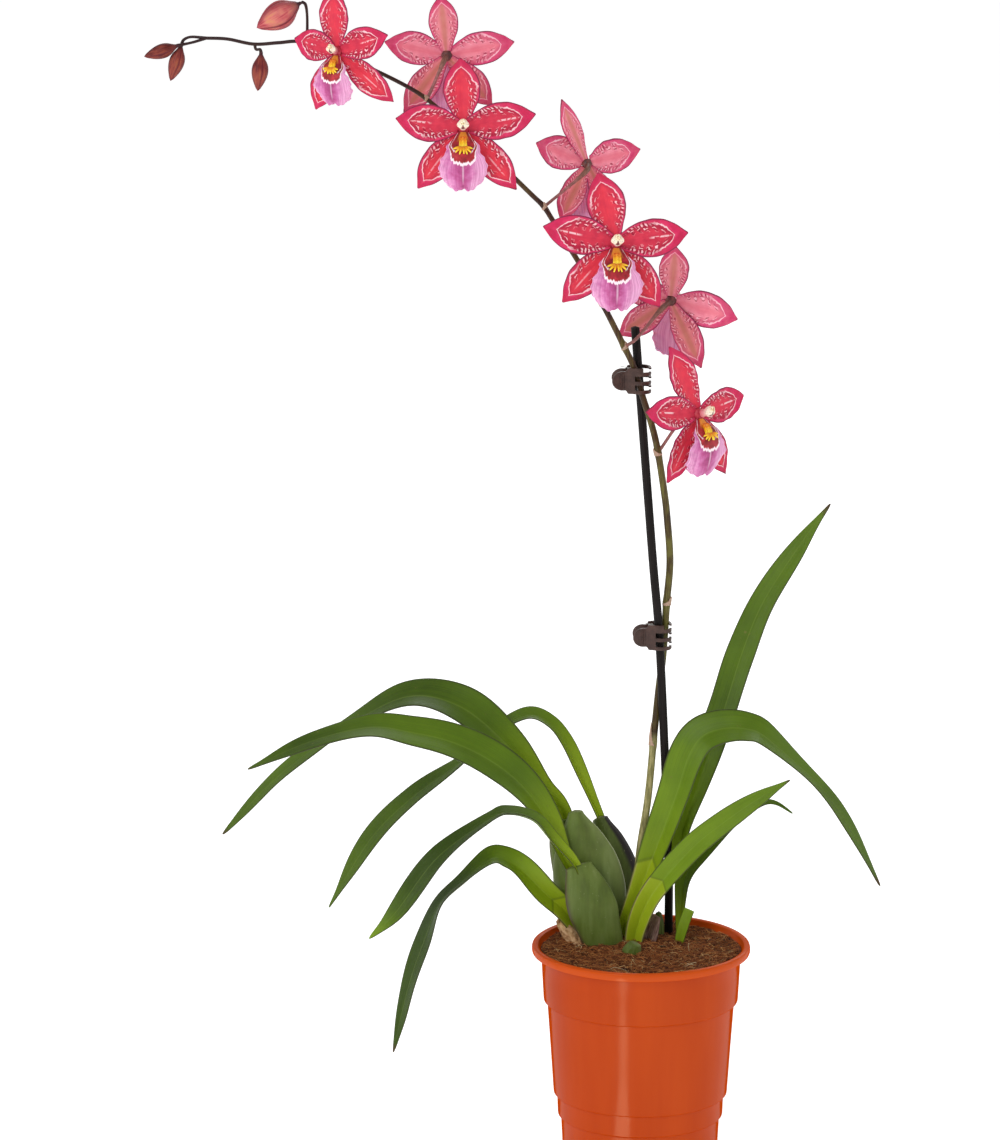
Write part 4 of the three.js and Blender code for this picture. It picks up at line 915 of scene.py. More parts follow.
bud_skin, add = finish(
    "bud_sepal", Roughness=0.5, IOR=1.42, Specular_IOR_Level=0.3, Subsurface_Weight=0.1,
    Subsurface_Scale=0.002,
)
flat = add("UVMap", uv_map="UVMap")
around = add("SeparateXYZ", flat)
streaks = add("TexNoise", add("Mapping", flat, Scale=(44, 3, 1)), 1, 4)
mixed = add("Mix", 0.5, streaks, add("TexNoise", add("TexCoord", out="Object"), 130, 2))
# bloom is how far each bud has ripened: the dull small ones are maroon, the large one salmon-pink.
ripe = add("Attribute", out="Fac", attribute_name="bloom")
open_part = add("MapRange", ripe)
sepal = add("ValToRGB", mixed, (0.36, "#4d1614"), (0.47, "#702a22"), (0.56, "#8c3f2a"), (0.68, "#864826"))
salmon = add("ValToRGB", mixed, (0.36, "#a02c3e"), (0.46, "#c65a60"), (0.56, "#d47a70"), (0.68, "#d48c66"))
front = add("SeparateXYZ", add("TexCoord", out="Normal"), out=1)
painted_flank_shade = add("Mix RGBA", open_part, "#4c1620", "#8e2436")
dusk = add("MapRange", around.node.outputs[1], 0.2, 0.02, 0, 0.8)
thirds = add("Math MODULO", add("Math MULTIPLY", around, 3), 1)
seam = add("Math ABSOLUTE", add("Math SUBTRACT", thirds, 0.5))
for mask, over in (
    (open_part, salmon),
    # Painted shade: the flanks, turned from the front, are painted wine-dark, and the front keeps its coppery
    # colour.
    (add("MapRange SMOOTHSTEP", front, -0.9, -0.4, 0, 0.75), painted_flank_shade),
    # Towards the stalk the colour turns to dark plum, as on the neck, and the seams are dark lines.
    (add("Math MAXIMUM", dusk, add("MapRange", ripe, -0.4, -0.8)), "#3a1a20"),
    (add("MapRange SMOOTHSTEP", seam, 0.09, 0, 0, 0.75), "#5e1422"),
):
    sepal = add("Mix RGBA", mask, sepal, over)
coat(bud_skin, Base_Color=sepal, Normal=add("Bump", Height=streaks, Strength=0.3, Distance=0.0003))
for name, bud in BUDS.items():
    piece = closed_bud(name, **bud)
    piece.data.materials.append(bud_skin)
    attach(piece, "plant")
    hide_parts(name)

# ---- The blooms: five tepals round a column, with a painted lip ----------------------------------------
# Thin, fleshy sepals and petals, crimson inside with a jagged white line, rows of white dashes and a hot
# pink margin, and salmon behind. hub is the bloom's middle, yaw turns it about the vertical (0 faces -Y),
# and each tepal has its angle from up, its length and width, and how many degrees it leans forward.
BLOOMS = {
    1: dict(
        hub=(-163, -24, 620), yaw=-22, size=0.84, node=(-161, -3.5, 614), via=(),
        tepals=[(-9, 33, 17, -6), (-77, 25, 17, 4), (71, 31, 17, 4), (-156, 35, 15, -2), (130, 40, 15, -2)],
    ),
    2: dict(
        hub=(-106, 14, 613), yaw=176, size=0.92, node=(-116, -0.5, 592), via=(),
        tepals=[(5, 33, 16, -4), (78, 34, 18, 2), (-78, 37, 18, 2), (143, 38, 16, 0), (-137, 36, 16, 0)],
    ),
    3: dict(
        hub=(-97, -24, 580), yaw=0, size=1, node=(-92, 0.5, 571), via=(),
        tepals=[(-2, 36, 20, -4), (-83, 36, 20, 2), (80, 39, 20, 2), (-144, 41, 17, 0), (140, 44, 17, 0)],
    ),
    4: dict(
        hub=(-31, 20, 554), yaw=202, size=0.9, node=(-54, 4.5, 533), via=(),
        tepals=[(25, 40, 10.5, -4), (66, 32, 18, 2), (-79, 32, 19, 2), (152, 34, 15, 0), (-150, 36, 15, 0)],
    ),
    5: dict(
        hub=(-16, -15, 517), yaw=4, size=1.08, node=(-23, 8.6, 481), via=(),
        tepals=[(-14, 38, 21, -4), (-77, 40, 21, 2), (83, 39, 21, 2), (-139, 43, 18, 0), (146, 43, 18, 0)],
    ),
    6: dict(
        hub=(15, 29, 478), yaw=165, size=0.92, node=(-10.6, 9.6, 456), via=((-3.8, 6.6, 461.5),),
        tepals=[(-6, 31, 17, -4), (73, 34, 18, 2), (-103, 38, 20, 2), (125, 35, 16, 0), (-154, 40, 16, 0)],
    ),
    7: dict(
        hub=(29, 2, 421), yaw=38, size=1, node=(8.1, 14.5, 397), via=(),
        tepals=[(-23, 41, 18, -4), (-82, 37, 19, 2), (79, 33, 19, 2), (-152, 41, 16, 0), (149, 42, 16, 0)],
    ),
}
SEPAL_SHAPE = (0.34, 0.6, 0.88, 1, 0.93, 0.6, 0.06)
PETAL_SHAPE = (0.4, 0.72, 0.95, 1, 0.88, 0.55, 0.06)
ROOT, WAVE, TEPAL_THICKNESS, LIP_THICKNESS = 2.2, 0.55, 0.75, 0.7
STALK_RISE, STALK_LEAN = 0.18, 0.2


def seated(point, bloom, size=None):
    """A point of a bloom's own frame (x to its right, y up, z the way it faces) in the plant's frame."""
    turn = math.radians(bloom["yaw"])
    right, facing = Vector((math.cos(turn), math.sin(turn), 0)), Vector((math.sin(turn), -math.cos(turn), 0))
    way = right * point[0] + Vector((0, 0, 1)) * point[1] + facing * point[2]
    return Vector(bloom["hub"]) + way * (size or bloom["size"])


def tepal(name, bloom, order):
    """A sepal or petal: broad, with a waved margin, a shallow groove along the middle and a pointed tip."""
    angle, length, width, lean = bloom["tepals"][order]
    petal = order in (1, 2)
    out = Vector((math.sin(math.radians(angle)), math.cos(math.radians(angle)), 0))
    side = Vector((math.cos(math.radians(angle)), -math.sin(math.radians(angle)), 0))
    layer, shape = (0.5, PETAL_SHAPE) if petal else (-0.4, SEPAL_SHAPE)
    seed = order * 3.1 + bloom["hub"][0]

    def place(u, v):
        s = 2 * u - 1
        half = width / 2 * through(shape, v)
        if v > 0.93:
            half = max(0.05, half * math.sqrt(max(0, 1 - ((v - 0.93) / 0.07) ** 2)) + 0.2 * (1 - v))
        ragged = 1 + 0.035 * noise.noise(Vector((seed, v * 7, s))) * abs(s)
        wave = WAVE * s * s * math.sin(3.4 * math.pi * v + 2 * order + (1.3 if s > 0 else 0))
        ripple = 0.3 * s * s * math.sin(11 * math.pi * v + seed + 2 * s)
        groove = -0.35 * math.exp(-((s / 0.13) ** 2)) * math.sin(math.pi * min(1, v * 1.1))
        lift = layer + length * v * math.tan(math.radians(lean)) + 0.09 * half * s * s - 1.6 * v**3
        flat = out * (ROOT + (length - ROOT) * v) + side * (half * s * ragged)
        return seated(flat + Vector((0, 0, lift + wave + ripple + groove)), bloom, 1)

    piece = grid(name, 14, 30, place, skins=[*tepal_faces, hub_flesh])
    first = (0, 1, 1, 2, 2)[order] * 2
    fleshed(piece, TEPAL_THICKNESS)
    for face in piece.data.polygons:
        face.material_index += first
    return piece


# The line that the white edging follows: how much of the half width lies inside it, from base to tip.
DORSAL_LINE = [(0, 0.74), (0.3, 0.82), (0.55, 0.8), (0.7, 0.64), (0.8, 0.4), (0.87, 0), (1, -0.7)]
PETAL_LINE = [(0, 0.7), (0.2, 0.8), (0.48, 0.78), (0.64, 0.62), (0.74, 0.38), (0.8, 0), (1, -0.7)]
LATERAL_LINE = [(0, 0.72), (0.3, 0.8), (0.6, 0.76), (0.76, 0.56), (0.84, 0.2), (0.88, -0.1), (1, -0.7)]


def masked(*places):
    """A mask's stops: nothing up to the first of four places, all from the second to the third."""
    return zip(places, ("#000000", "#ffffff", "#ffffff", "#000000"))


def painted_face(name, line, heart, deep, margin, tip, white, dashes, streak, rib):
    """A face of a tepal, painted from its own map. A white line follows the outline, whole near the tip and
    broken into slanting strokes lower down; rib is the colour of a band on the midrib."""
    face, add = finish(
        name, Roughness=0.5, IOR=1.4, Specular_IOR_Level=0.3, Subsurface_Weight=0.15, Subsurface_Scale=0.0015,
        Subsurface_Radius=(1, 0.35, 0.4),
    )
    flat, along, _, edge = own_map(add)
    where = add("TexCoord", out="Object")
    wander, teeth = add("TexNoise", where, 190, 1), add("TexNoise", where, 520, 1, 0.6)
    cloud = add("TexNoise", where, 240, 3)
    veins = add("TexNoise", add("Mapping", flat, Scale=(60, 3, 1)), 1, 2)
    # The line wanders by a millimetre or two and is toothed, more so towards the base.
    off = add("Math SUBTRACT", edge, add("FloatCurve", 1, along, *line))
    off = add("Math MULTIPLY_ADD", wander, 0.3, off)
    calmer = add("MapRange", along, 0.3, 0.8, 0.42, 0.14)
    off = add("Math MULTIPLY_ADD", add("Math SUBTRACT", teeth, 0.5), calmer, off)
    spot = add("Math ADD", off, 0.45)
    paint = add(
        "ValToRGB", spot, (0, heart), (0.2, heart), (0.45, deep), (0.57, deep), (0.64, margin), (1, tip),
    )
    # Slanting strokes, drawn by sines of the map, take the line's place lower down, dark between the light.
    slant = add("Math MULTIPLY", along, 118)
    for wave, depth in ((edge, 20), (wander, 12), (teeth, 5)):
        slant = add("Math MULTIPLY_ADD", wave, depth, slant)
    comb, low = add("Math SINE", slant), add("MapRange", along, 0.6, 0.44)
    whole = add("ValToRGB", spot, *masked(0.53, 0.565, 0.625, 0.66))
    whole = add("Math MULTIPLY", whole, add("Math SUBTRACT", 1, low))
    belt = add("ValToRGB", spot, *masked(0.42, 0.5, 0.59, 0.64))
    for mask in (low, add("MapRange", along, 0.04, 0.12, 0, dashes), add("MapRange", cloud, 0.38, 0.5)):
        belt = add("Math MULTIPLY", belt, mask)
    strokes = add("Math MULTIPLY", add("MapRange", comb, 0.1, 0.5), belt)
    between = add("Math MULTIPLY", add("MapRange", comb, -0.2, -0.6), belt)
    # Inside them lie broken rows of dashes, parallel to the outline.
    rows = add("Math SINE", add("Math MULTIPLY", off, 36))
    against = add("Math SINE", add("Math MULTIPLY", slant, 0.5))
    zone = add("ValToRGB", spot, *masked(0.12, 0.24, 0.38, 0.44))
    reach = add("ValToRGB", along, *masked(0.1, 0.18, 0.6, 0.74))
    for mask in (reach, add("MapRange", against, -0.1, 0.3), dashes):
        zone = add("Math MULTIPLY", zone, mask)
    light = add("Math MULTIPLY", add("MapRange", rows, 0.3, 0.7), zone)
    dark = add("Math MULTIPLY", add("MapRange", rows, -0.3, -0.8), zone)
    # A broken white streak lies on the midrib of the petals.
    lit = add("MapRange", edge, 0.07, 0.03, 0, streak)
    length = add("ValToRGB", along, *masked(0.42, 0.5, 0.7, 0.78))
    for mask in (length, add("MapRange", teeth, 0.4, 0.48)):
        lit = add("Math MULTIPLY", lit, mask)
    for mark in (strokes, whole, lit):
        light = add("Math MAXIMUM", light, mark)
    # The flesh is cloudy, and a band of rib colour on the midrib ends at the white line.
    layers = [(add("MapRange", cloud, 0.35, 0.7, 0, 0.6), deep)]
    if rib:
        band = add("MapRange SMOOTHSTEP", edge, 0.34, 0.05, 0, 0.6)
        layers.append((add("Math MULTIPLY", band, add("MapRange", spot, 0.5, 0.3)), rib))
    layers += [(add("Math MAXIMUM", dark, between), "#8a1430"), (light, white)]
    # Fine veins fan along it, and the very edge is a thin purple-grey line.
    layers.append((add("MapRange", veins, 0.35, 0.65, 0.3, 0), deep))
    rim, point = add("MapRange", edge, 0.9, 0.96, 0, 0.85), add("MapRange", along, 0.965, 0.99, 0, 0.6)
    layers.append((add("Math MAXIMUM", rim, point), "#6b2444"))
    for mask, over in layers:
        paint = add("Mix RGBA", mask, paint, over)
    coat(face, Base_Color=paint, Normal=add("Bump", Height=veins, Strength=0.25, Distance=0.0003))
    return face


# Faces are crimson with a magenta margin. Backs are salmon, and show the same pattern, fainter.
tepal_faces = [
    painted_face(name, line, *colours.split(), dashes, streak, rib)
    for name, line, colours, dashes, streak, rib in (
        ("dorsal_sepal_face", DORSAL_LINE, "#e23c4e #c42c48 #d8406c #c62558 #f6d0d6", 0.9, 0, None),
        ("dorsal_sepal_back", DORSAL_LINE, "#e4929a #d0667c #d8487a #c22a60 #f2bcc8", 0.8, 0, "#b8764e"),
        ("petal_face", PETAL_LINE, "#d6384f #ae1e3e #de3c6c #d0265c #f6d0d6", 1, 0.9, None),
        ("petal_back", PETAL_LINE, "#f09aa8 #d2607c #d8467c #c42860 #f6c8d4", 0.9, 0, "#de6a7c"),
        ("lateral_sepal_face", LATERAL_LINE, "#e23c4c #bc2840 #d8406c #c22358 #f6d0d6", 1, 0.5, None),
        ("lateral_sepal_back", LATERAL_LINE, "#de8486 #c85e70 #d4487a #c02a60 #f2bcc8", 0.8, 0, "#b0704a"),
    )
]


def middle_of(name, bloom):
    """The hub: a low round swelling with the six ribs of the ovary behind it."""
    size = bloom["size"] * HUB_RADIUS

    def place(u, v):
        angle, tilt = 2 * math.pi * u, math.pi * (v - 0.5)
        r = size * math.cos(tilt) * (1 + 0.05 * math.cos(6 * angle))
        flat = (r * math.cos(angle), r * math.sin(angle), HUB_DEPTH * size * math.sin(tilt))
        return seated(flat, bloom, 1)

    piece = grid(name, 30, 16, place, wrapped=True, skins=[*tepal_faces, hub_flesh])
    for face in piece.data.polygons:
        face.material_index = len(tepal_faces)
    smoothed(piece, 80)
    return piece


hub_flesh, add = finish("hub_flesh", Roughness=0.5, Subsurface_Weight=0.1, Subsurface_Scale=0.002)
speckle = add("TexNoise", add("TexCoord", out="Object"), 600, 3)
brown = add("ValToRGB", speckle, (0.35, "#3f2020"), (0.65, "#743c38"))
in_front = add("MapRange", add("SeparateXYZ", add("UVMap", uv_map="UVMap"), out=1), 0.45, 0.6)
coat(hub_flesh, Base_Color=add("Mix RGBA", in_front, brown, "#b5243c"))

# The stalk is ribbed, thickest where it is the ovary, and pink-brown, duller towards the bloom.
stalk_skin, add = finish(
    "stalk_skin", Roughness=0.45, IOR=1.42, Subsurface_Weight=0.08, Subsurface_Scale=0.002,
)
along = add("SeparateXYZ", add("UVMap", uv_map="UVMap"), out=1)
length = add("ValToRGB", along, (0, "#80504a"), (0.4, "#a86a6a"), (0.75, "#8a6050"), (1, "#5c3c34"))
mottle = add("TexNoise", add("TexCoord", out="Object"), 500, 3)
dark = add("MapRange", mottle, 0.4, 0.7, 0.5, 0)
coat(stalk_skin, Base_Color=add("Mix RGBA", dark, length, "#4a2c22"))

LIP_DROP = (-2.4, -6.2, -9.6, -13, -18, -24, -30, -34.5)
LIP_REACH = (2.8, 5.8, 8.4, 10.2, 10.8, 10, 7.8, 5.2)
LIP_HALF = (2.2, 5.4, 8.8, 9, 11.8, 12.9, 11.6, 9.4)


def lip_point(s, v, frills=1):
    """The lip's middle surface, s across from -1 to 1 and v from its claw to its frilled end."""
    half = through(LIP_HALF, v)
    frill = 1.4 * v * v * abs(s) ** 3 * math.sin(9 * v * math.pi + (1 if s > 0 else 0))
    fine = 1.2 * v * v * max(0, abs(s) - 0.4) * math.sin(52 * v + 3 * s) * frills
    half *= 1 + 0.035 * frills * min(1, 2 * v) * math.sin(47 * v + (2 if s > 0 else 0)) * abs(s) ** 4
    soft = 2.4 * math.exp(-((s / 0.24) ** 2)) * max(0, v - 0.86) / 0.14
    return Vector((
        half * s,
        through(LIP_DROP, v) + 5.5 * v * v * s * s + soft + 0.45 * frills * v**6 * math.sin(19 * s),
        through(LIP_REACH, v) - (1 + 3.2 * v * v) * s * s + frill + fine,
    ))


def lip_blade(name, bloom):
    """The lip: a narrow claw with two side lobes, and a broad apron with a frilled, notched end."""
    def place(u, v):
        return seated(lip_point(2 * u - 1, v), bloom)

    piece = grid(name, 30, 44, place, skins=[lip_back, lip_face])
    fleshed(piece, LIP_THICKNESS)
    return piece


lip_face, add = finish(
    "lip_face", Roughness=0.5, IOR=1.4, Sheen_Weight=0.15, Subsurface_Weight=0.18, Subsurface_Scale=0.0015,
    Subsurface_Radius=(1, 0.5, 0.8),
)
flat, along, centred, edge = own_map(add)
drawn = add("Mapping", flat, Scale=(44, 2, 1))
veins, teeth = add("TexNoise", drawn, 1, 2), add("TexNoise", drawn, 0.45, 2)
mottle = add("TexNoise", add("TexCoord", out="Object"), 330, 3)
# The apron is mottled purple-pink in the middle, with a white line on its midrib, and pale at the frill.
outward = edge
for part, weight in ((along, 0.6), (mottle, 0.7), (centred, 0.24)):
    outward = add("Math MULTIPLY_ADD", part, weight, outward)
spread = add("MapRange", outward, 0.66, 1.7)
lilac = add("ValToRGB", spread, (0.05, "#8e2a62"), (0.28, "#b84a88"), (0.5, "#cf76ae"), (0.78, "#eaaad2"))
veined = add("Mix RGBA", add("MapRange", veins, 0.4, 0.65, 0.45, 0), lilac, "#a03a78")
upper = add("MapRange", along, 0.86, 0.74)
midline = add("Math MULTIPLY", add("MapRange", edge, 0.05, 0.02, 0, 0.45), upper)
apron = add("Mix RGBA", midline, veined, "#f0d2e4")
# The dark red cup below the crest runs out into the side lobes, and has a toothed white border.
lowest = add("FloatCurve", 1, edge, (0, 0.57), (0.35, 0.56), (0.6, 0.5), (0.75, 0.4), (0.87, 0.26), (1, 0.14))
depth = add("Math MULTIPLY_ADD", teeth, 0.13, add("Math SUBTRACT", along, lowest))
band = add("MapRange", depth, -0.42, 0.58)
paint = add("ValToRGB", mottle, (0.35, "#7e0d18"), (0.55, "#a51626"), (0.75, "#c22a3a"))
inner = add("ValToRGB", band, *masked(0.31, 0.33, 0.35, 0.37))
inner = add("Math MULTIPLY", inner, add("MapRange", edge, 0.4, 0.55, 0, 0.9))
white = add("Math MAXIMUM", add("ValToRGB", band, *masked(0.462, 0.474, 0.502, 0.512)), inner)
claw = add("Math MULTIPLY", add("MapRange", along, 0.2, 0.1), add("MapRange", edge, 0.6, 0.45))
for mask, over in ((add("MapRange", band, 0.485, 0.5), apron), (white, "#f6e4ea"), (claw, "#dc8a24")):
    paint = add("Mix RGBA", mask, paint, over)
coat(lip_face, Base_Color=paint, Normal=add("Bump", Height=veins, Strength=0.35, Distance=0.0003))

# The underside of the lip is paler, with the same veins.
lip_back, add = finish(
    "lip_back", Roughness=0.55, Sheen_Weight=0.15, Subsurface_Weight=0.18, Subsurface_Scale=0.0015,
)
veins = add("TexNoise", add("Mapping", add("UVMap", uv_map="UVMap"), Scale=(44, 2, 1)), 1, 2)
coat(lip_back, Base_Color=add("ValToRGB", veins, (0.3, "#cc82b4"), (0.55, "#e2a8d0"), (0.75, "#f0c8e2")))


# The lean of each finger of the crest from straight down, how far it reaches, and how far forward.
CREST_FINGERS = [
    (-78, 3.6, 1), (-48, 3.8, 1.6), (-20, 3.8, 1.2), (6, 3.2, 2.2), (24, 3.9, 1), (50, 3.8, 1.8),
    (80, 3.4, 0.8),
]


def crest_keels(name, bloom):
    """The crest: a callus of three keels on the lip's claw, which ends in a fan of blunt fingers."""
    def place(u, v):
        angle = 2 * math.pi * u
        w = 0.1 + 0.24 * v
        s = math.cos(angle)
        closing = min(1, v / 0.08, ((1 - v) / 0.16) ** 0.6)
        half = 2.3 * (0.7 + 0.3 * v) * closing
        across = s * half / through(LIP_HALF, w)
        here = lip_point(across, w)
        onward = lip_point(across, w + 0.02) - here
        beside = lip_point(across + 0.02, w) - here
        normal = beside.cross(onward).normalized()
        normal = -normal if normal.z < 0 else normal
        keel = 0.35 + 0.65 * abs(math.cos(math.pi * s * 1.02)) ** 1.4
        notch = 1 - 0.3 * (0.5 + 0.5 * math.sin(26 * v))
        tall = (0.9 + 1.7 * math.sin(math.pi * (0.2 + 0.75 * v)) * keel * notch) * closing
        rise = 0.65 + (tall if math.sin(angle) > 0 else 0) * abs(math.sin(angle)) ** 0.35
        tooth = 1.3 * (keel - 0.5) * max(0, v - 0.75) / 0.25 * closing
        return seated(here + normal * rise + Vector((0, -tooth, 0.25 * tooth)), bloom)

    parts = [grid(name, 52, 30, place, wrapped=True)]
    for i, (lean, far, rise) in enumerate(CREST_FINGERS):
        angle = math.radians(lean)
        root = Vector((1.6 * math.sin(angle), -9.4, 10.2))
        tip = root + Vector((far * math.sin(angle), -far * math.cos(angle), rise))
        bend = (root + tip) / 2 + Vector((0, 0.25, 0.7))
        route = [seated(p, bloom) for p in (root, bend, tip)]
        parts.append(tube(f"{name}_finger_{i}", route, (0.75, 0.7, 0.55, 0.3), 10, 12))
    piece = joined(parts, name)
    piece.data.materials.append(crest_wax)
    smoothed(piece, 70)
    return piece


crest_wax, add = finish(
    "crest_callus", Roughness=0.38, IOR=1.42, Subsurface_Weight=0.12, Subsurface_Scale=0.002,
)
along = add("SeparateXYZ", add("UVMap", uv_map="UVMap"), out=1)
speckle = add("TexNoise", add("TexCoord", out="Object"), 900, 2)
from_base = add("Math MULTIPLY_ADD", speckle, 0.3, along)
yellow = add("ValToRGB", from_base, (0.2, "#d2621a"), (0.5, "#e6921c"), (0.85, "#f0c822"), (1.1, "#f5dc3c"))
coat(crest_wax, Base_Color=yellow)

COLUMN_ROUTE = [(0, 1, 3.6), (0, 1.7, 6.1), (0, 2.7, 9.1), (0, 3.2, 12.3)]
COLUMN_RADII = (1.9, 1.6, 1.7, 2.2, 2.5, 1.5)


def column_club(name, bloom):
    """The column: a short club with a toothed wing on each side, a hood over its tip and a hollow below."""
    line = Route(COLUMN_ROUTE)

    def place(u, v):
        angle = 2 * math.pi * u
        share = max(0, min(1, (v - 0.05) / 0.9))
        closing = min(1, v / 0.05, ((1 - v) / 0.1) ** 0.55)
        heading = line.heading(share)
        up = (Vector((0, 1, 0)) - heading * heading.y).normalized()
        x, y = math.cos(angle), math.sin(angle)
        wing = math.exp(-(((abs(x) - 1) / 0.1) ** 2)) * math.exp(-(((share - 0.74) / 0.13) ** 2))
        wing *= 0.8 + 0.2 * math.sin(40 * share)
        hollow = 0.9 * math.exp(-(((y + 1) / 0.35) ** 2)) * math.exp(-(((share - 0.82) / 0.12) ** 2))
        r = through(COLUMN_RADII, share) * closing
        tall = (r - hollow) * y * (1.45 if y < 0 else 1.1)
        wing *= closing
        flat = line.at(share) + Vector(((r + wing) * x, 0, 0)) + up * (tall - 0.5 * wing)
        flat += heading * (0.5 * (1 - closing) * (1 if v > 0.5 else -1))
        return seated(flat, bloom)

    piece = grid(name, 40, 36, place, wrapped=True, skins=[column_flesh, cap_wax])
    smoothed(piece, 70)
    return piece


def anther_cap(name, bloom):
    """The cap over the pollen, at the column's tip: a small smooth dome with a groove."""
    def place(u, v):
        angle, tilt = 2 * math.pi * u, math.pi * (v - 0.5)
        r = 1.35 * math.cos(tilt)
        dent = 1 - 0.16 * math.exp(-((math.cos(angle) / 0.3) ** 2)) * (math.sin(angle) > 0)
        dome = Vector((r * math.cos(angle), 1.35 * r * math.sin(angle) * dent, 1.1 * math.sin(tilt)))
        return seated(Vector((0, 4.3, 12.2)) + dome, bloom)

    piece = grid(name, 24, 14, place, wrapped=True, skins=[column_flesh, cap_wax])
    for face in piece.data.polygons:
        face.material_index = 1
    smoothed(piece, 80)
    return piece


column_flesh, add = finish(
    "column_flesh", Roughness=0.42, IOR=1.42, Subsurface_Weight=0.15, Subsurface_Scale=0.002,
)
around = add("SeparateXYZ", add("UVMap", uv_map="UVMap"))
along = around.node.outputs[1]
cream = add("ValToRGB", along, (0, "#c24a5c"), (0.3, "#e3a0a4"), (0.6, "#f1dccf"), (1, "#f3e4c8"))
cells = add("TexVoronoi", add("TexCoord", out="Object"), 1100)
speckled = add("Mix RGBA", add("MapRange", cells, 0.3, 0.18, 0, 0.75), cream, "#8d3a30")
# The hollow on the underside, at three quarters of the way round, is sticky and dark.
under = add("Math ABSOLUTE", add("Math SUBTRACT", around, 0.75))
dark = add("Math MULTIPLY", add("MapRange", under, 0.09, 0.04), add("MapRange", along, 0.68, 0.74))
coat(column_flesh, Base_Color=add("Mix RGBA", dark, speckled, "#6e2b34"))
cap_wax, add = finish("anther_cap", Roughness=0.35, Subsurface_Weight=0.15, Subsurface_Scale=0.002)
speckle = add("TexNoise", add("TexCoord", out="Object"), 1200, 2)
coat(cap_wax, Base_Color=add("ValToRGB", speckle, (0.4, "#b98a5a"), (0.5, "#efdcb4"), (0.7, "#f8efd6")))

for number, bloom in BLOOMS.items():
    name = f"bloom_{number}"
    petals = [tepal(f"{name}_tepal_{order}", bloom, order) for order in range(5)]
    flower = joined([*petals, middle_of(name + "_hub", bloom)], name + "_petals")
    lip = lip_blade(name + "_apron", bloom)
    crest = crest_keels(name + "_callus", bloom)
    column = joined([column_club(name + "_club", bloom), anther_cap(name + "_cap", bloom)], name + "_club")
    turn = math.radians(bloom["yaw"])
    back = Vector((-math.sin(turn), math.cos(turn), 0))
    start = Vector(bloom["node"])
    end = Vector(bloom["hub"]) + back * (HUB_DEPTH * HUB_RADIUS * bloom["size"] + 0.2)
    behind = (end + back * (STALK_RISE * (end - start).length)).lerp(start, STALK_LEAN)
    route = [start, *bloom["via"], behind, end]
    stalk = tube(name + "_stalk", route, (0.9, 0.85, 0.85, 0.95, 1.45, 1.3), 24, 44, ribs=0.06)
    stalk.data.materials.append(stalk_skin)
    for piece, slot, replaced in (
        (flower, "crimson_petal", name + "_tepals"), (lip, "pink_lip", name + "_lip"),
        (crest, "yellow_crest", name + "_crest"), (column, "cream_column", name + "_column"),
        (stalk, "stem_olive", "spike"),
    ):
        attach(piece, "plant")
        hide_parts(replaced)

# ---- The stake: a dark, fluted rod of extruded plastic, cut off square at the top -----------------------
# It stands deep in the fibre and bends a little where the clips draw it to the spike. The die leaves shallow
# flutes along it, and the cut end shows the pale filler.
STAKE_ROUTE = [
    (15.8, 32.5, 20), (16.2, 34.5, 122), (15.5, 31, 173), (10.2, 25, 284), (5.3, 21, 342), (-4.8, 13, 467),
]
STAKE_RADIUS, FLUTES, FLUTE_DEPTH = 2.35, 12, 0.14
stake_line = Route(STAKE_ROUTE)


def stake_point(u, v):
    """A point of the stake: its first and last rows close the ends, and the last but one is its rim."""
    angle = 2 * math.pi * u
    share = max(0, min(0.998, (v - 0.02) / 0.96))
    closing = 1 if 0 < v < 1 else 0
    if 0.985 < v < 1:
        share, closing = 1, 0.93
    heading = stake_line.heading(share)
    side = (Vector((1, 0, 0)) - heading * heading.x).normalized()
    radius = (STAKE_RADIUS - FLUTE_DEPTH * (0.5 - 0.5 * math.cos(FLUTES * angle))) * closing
    out = side * (radius * math.cos(angle)) + heading.cross(side) * (radius * math.sin(angle))
    return stake_line.at(1 if v == 1 else share) + out


stake = grid("stake_rod", 96, 64, stake_point, wrapped=True)
charcoal, add = finish("extruded_charcoal_plastic", Roughness=0.5, IOR=1.5, Specular_IOR_Level=0.12)
streaks = add("TexNoise", add("Mapping", add("TexCoord", out="Object"), Scale=(700, 700, 14)), 1, 4)
grey = add("ValToRGB", streaks, (0.3, "#110c0c"), (0.6, "#1a1514"), (0.8, "#26201f"))
coat(charcoal, Base_Color=grey, Normal=add("Bump", Height=streaks, Strength=0.3, Distance=0.0003))
cut_end, add = finish("sawn_plastic_end", Roughness=0.85)
sawn = add("TexNoise", add("TexCoord", out="Object"), 1500, 2)
coat(cut_end, Base_Color=add("ValToRGB", sawn, (0.3, "#a8906c"), (0.7, "#d8c8a8")))
for skin in (charcoal, cut_end):
    stake.data.materials.append(skin)
for face in stake.data.polygons:
    if face.center.z > 0.4665 and abs(face.normal.z) > 0.8:
        face.material_index = 1
smoothed(stake, 40)
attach(stake, "plant")
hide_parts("stake")

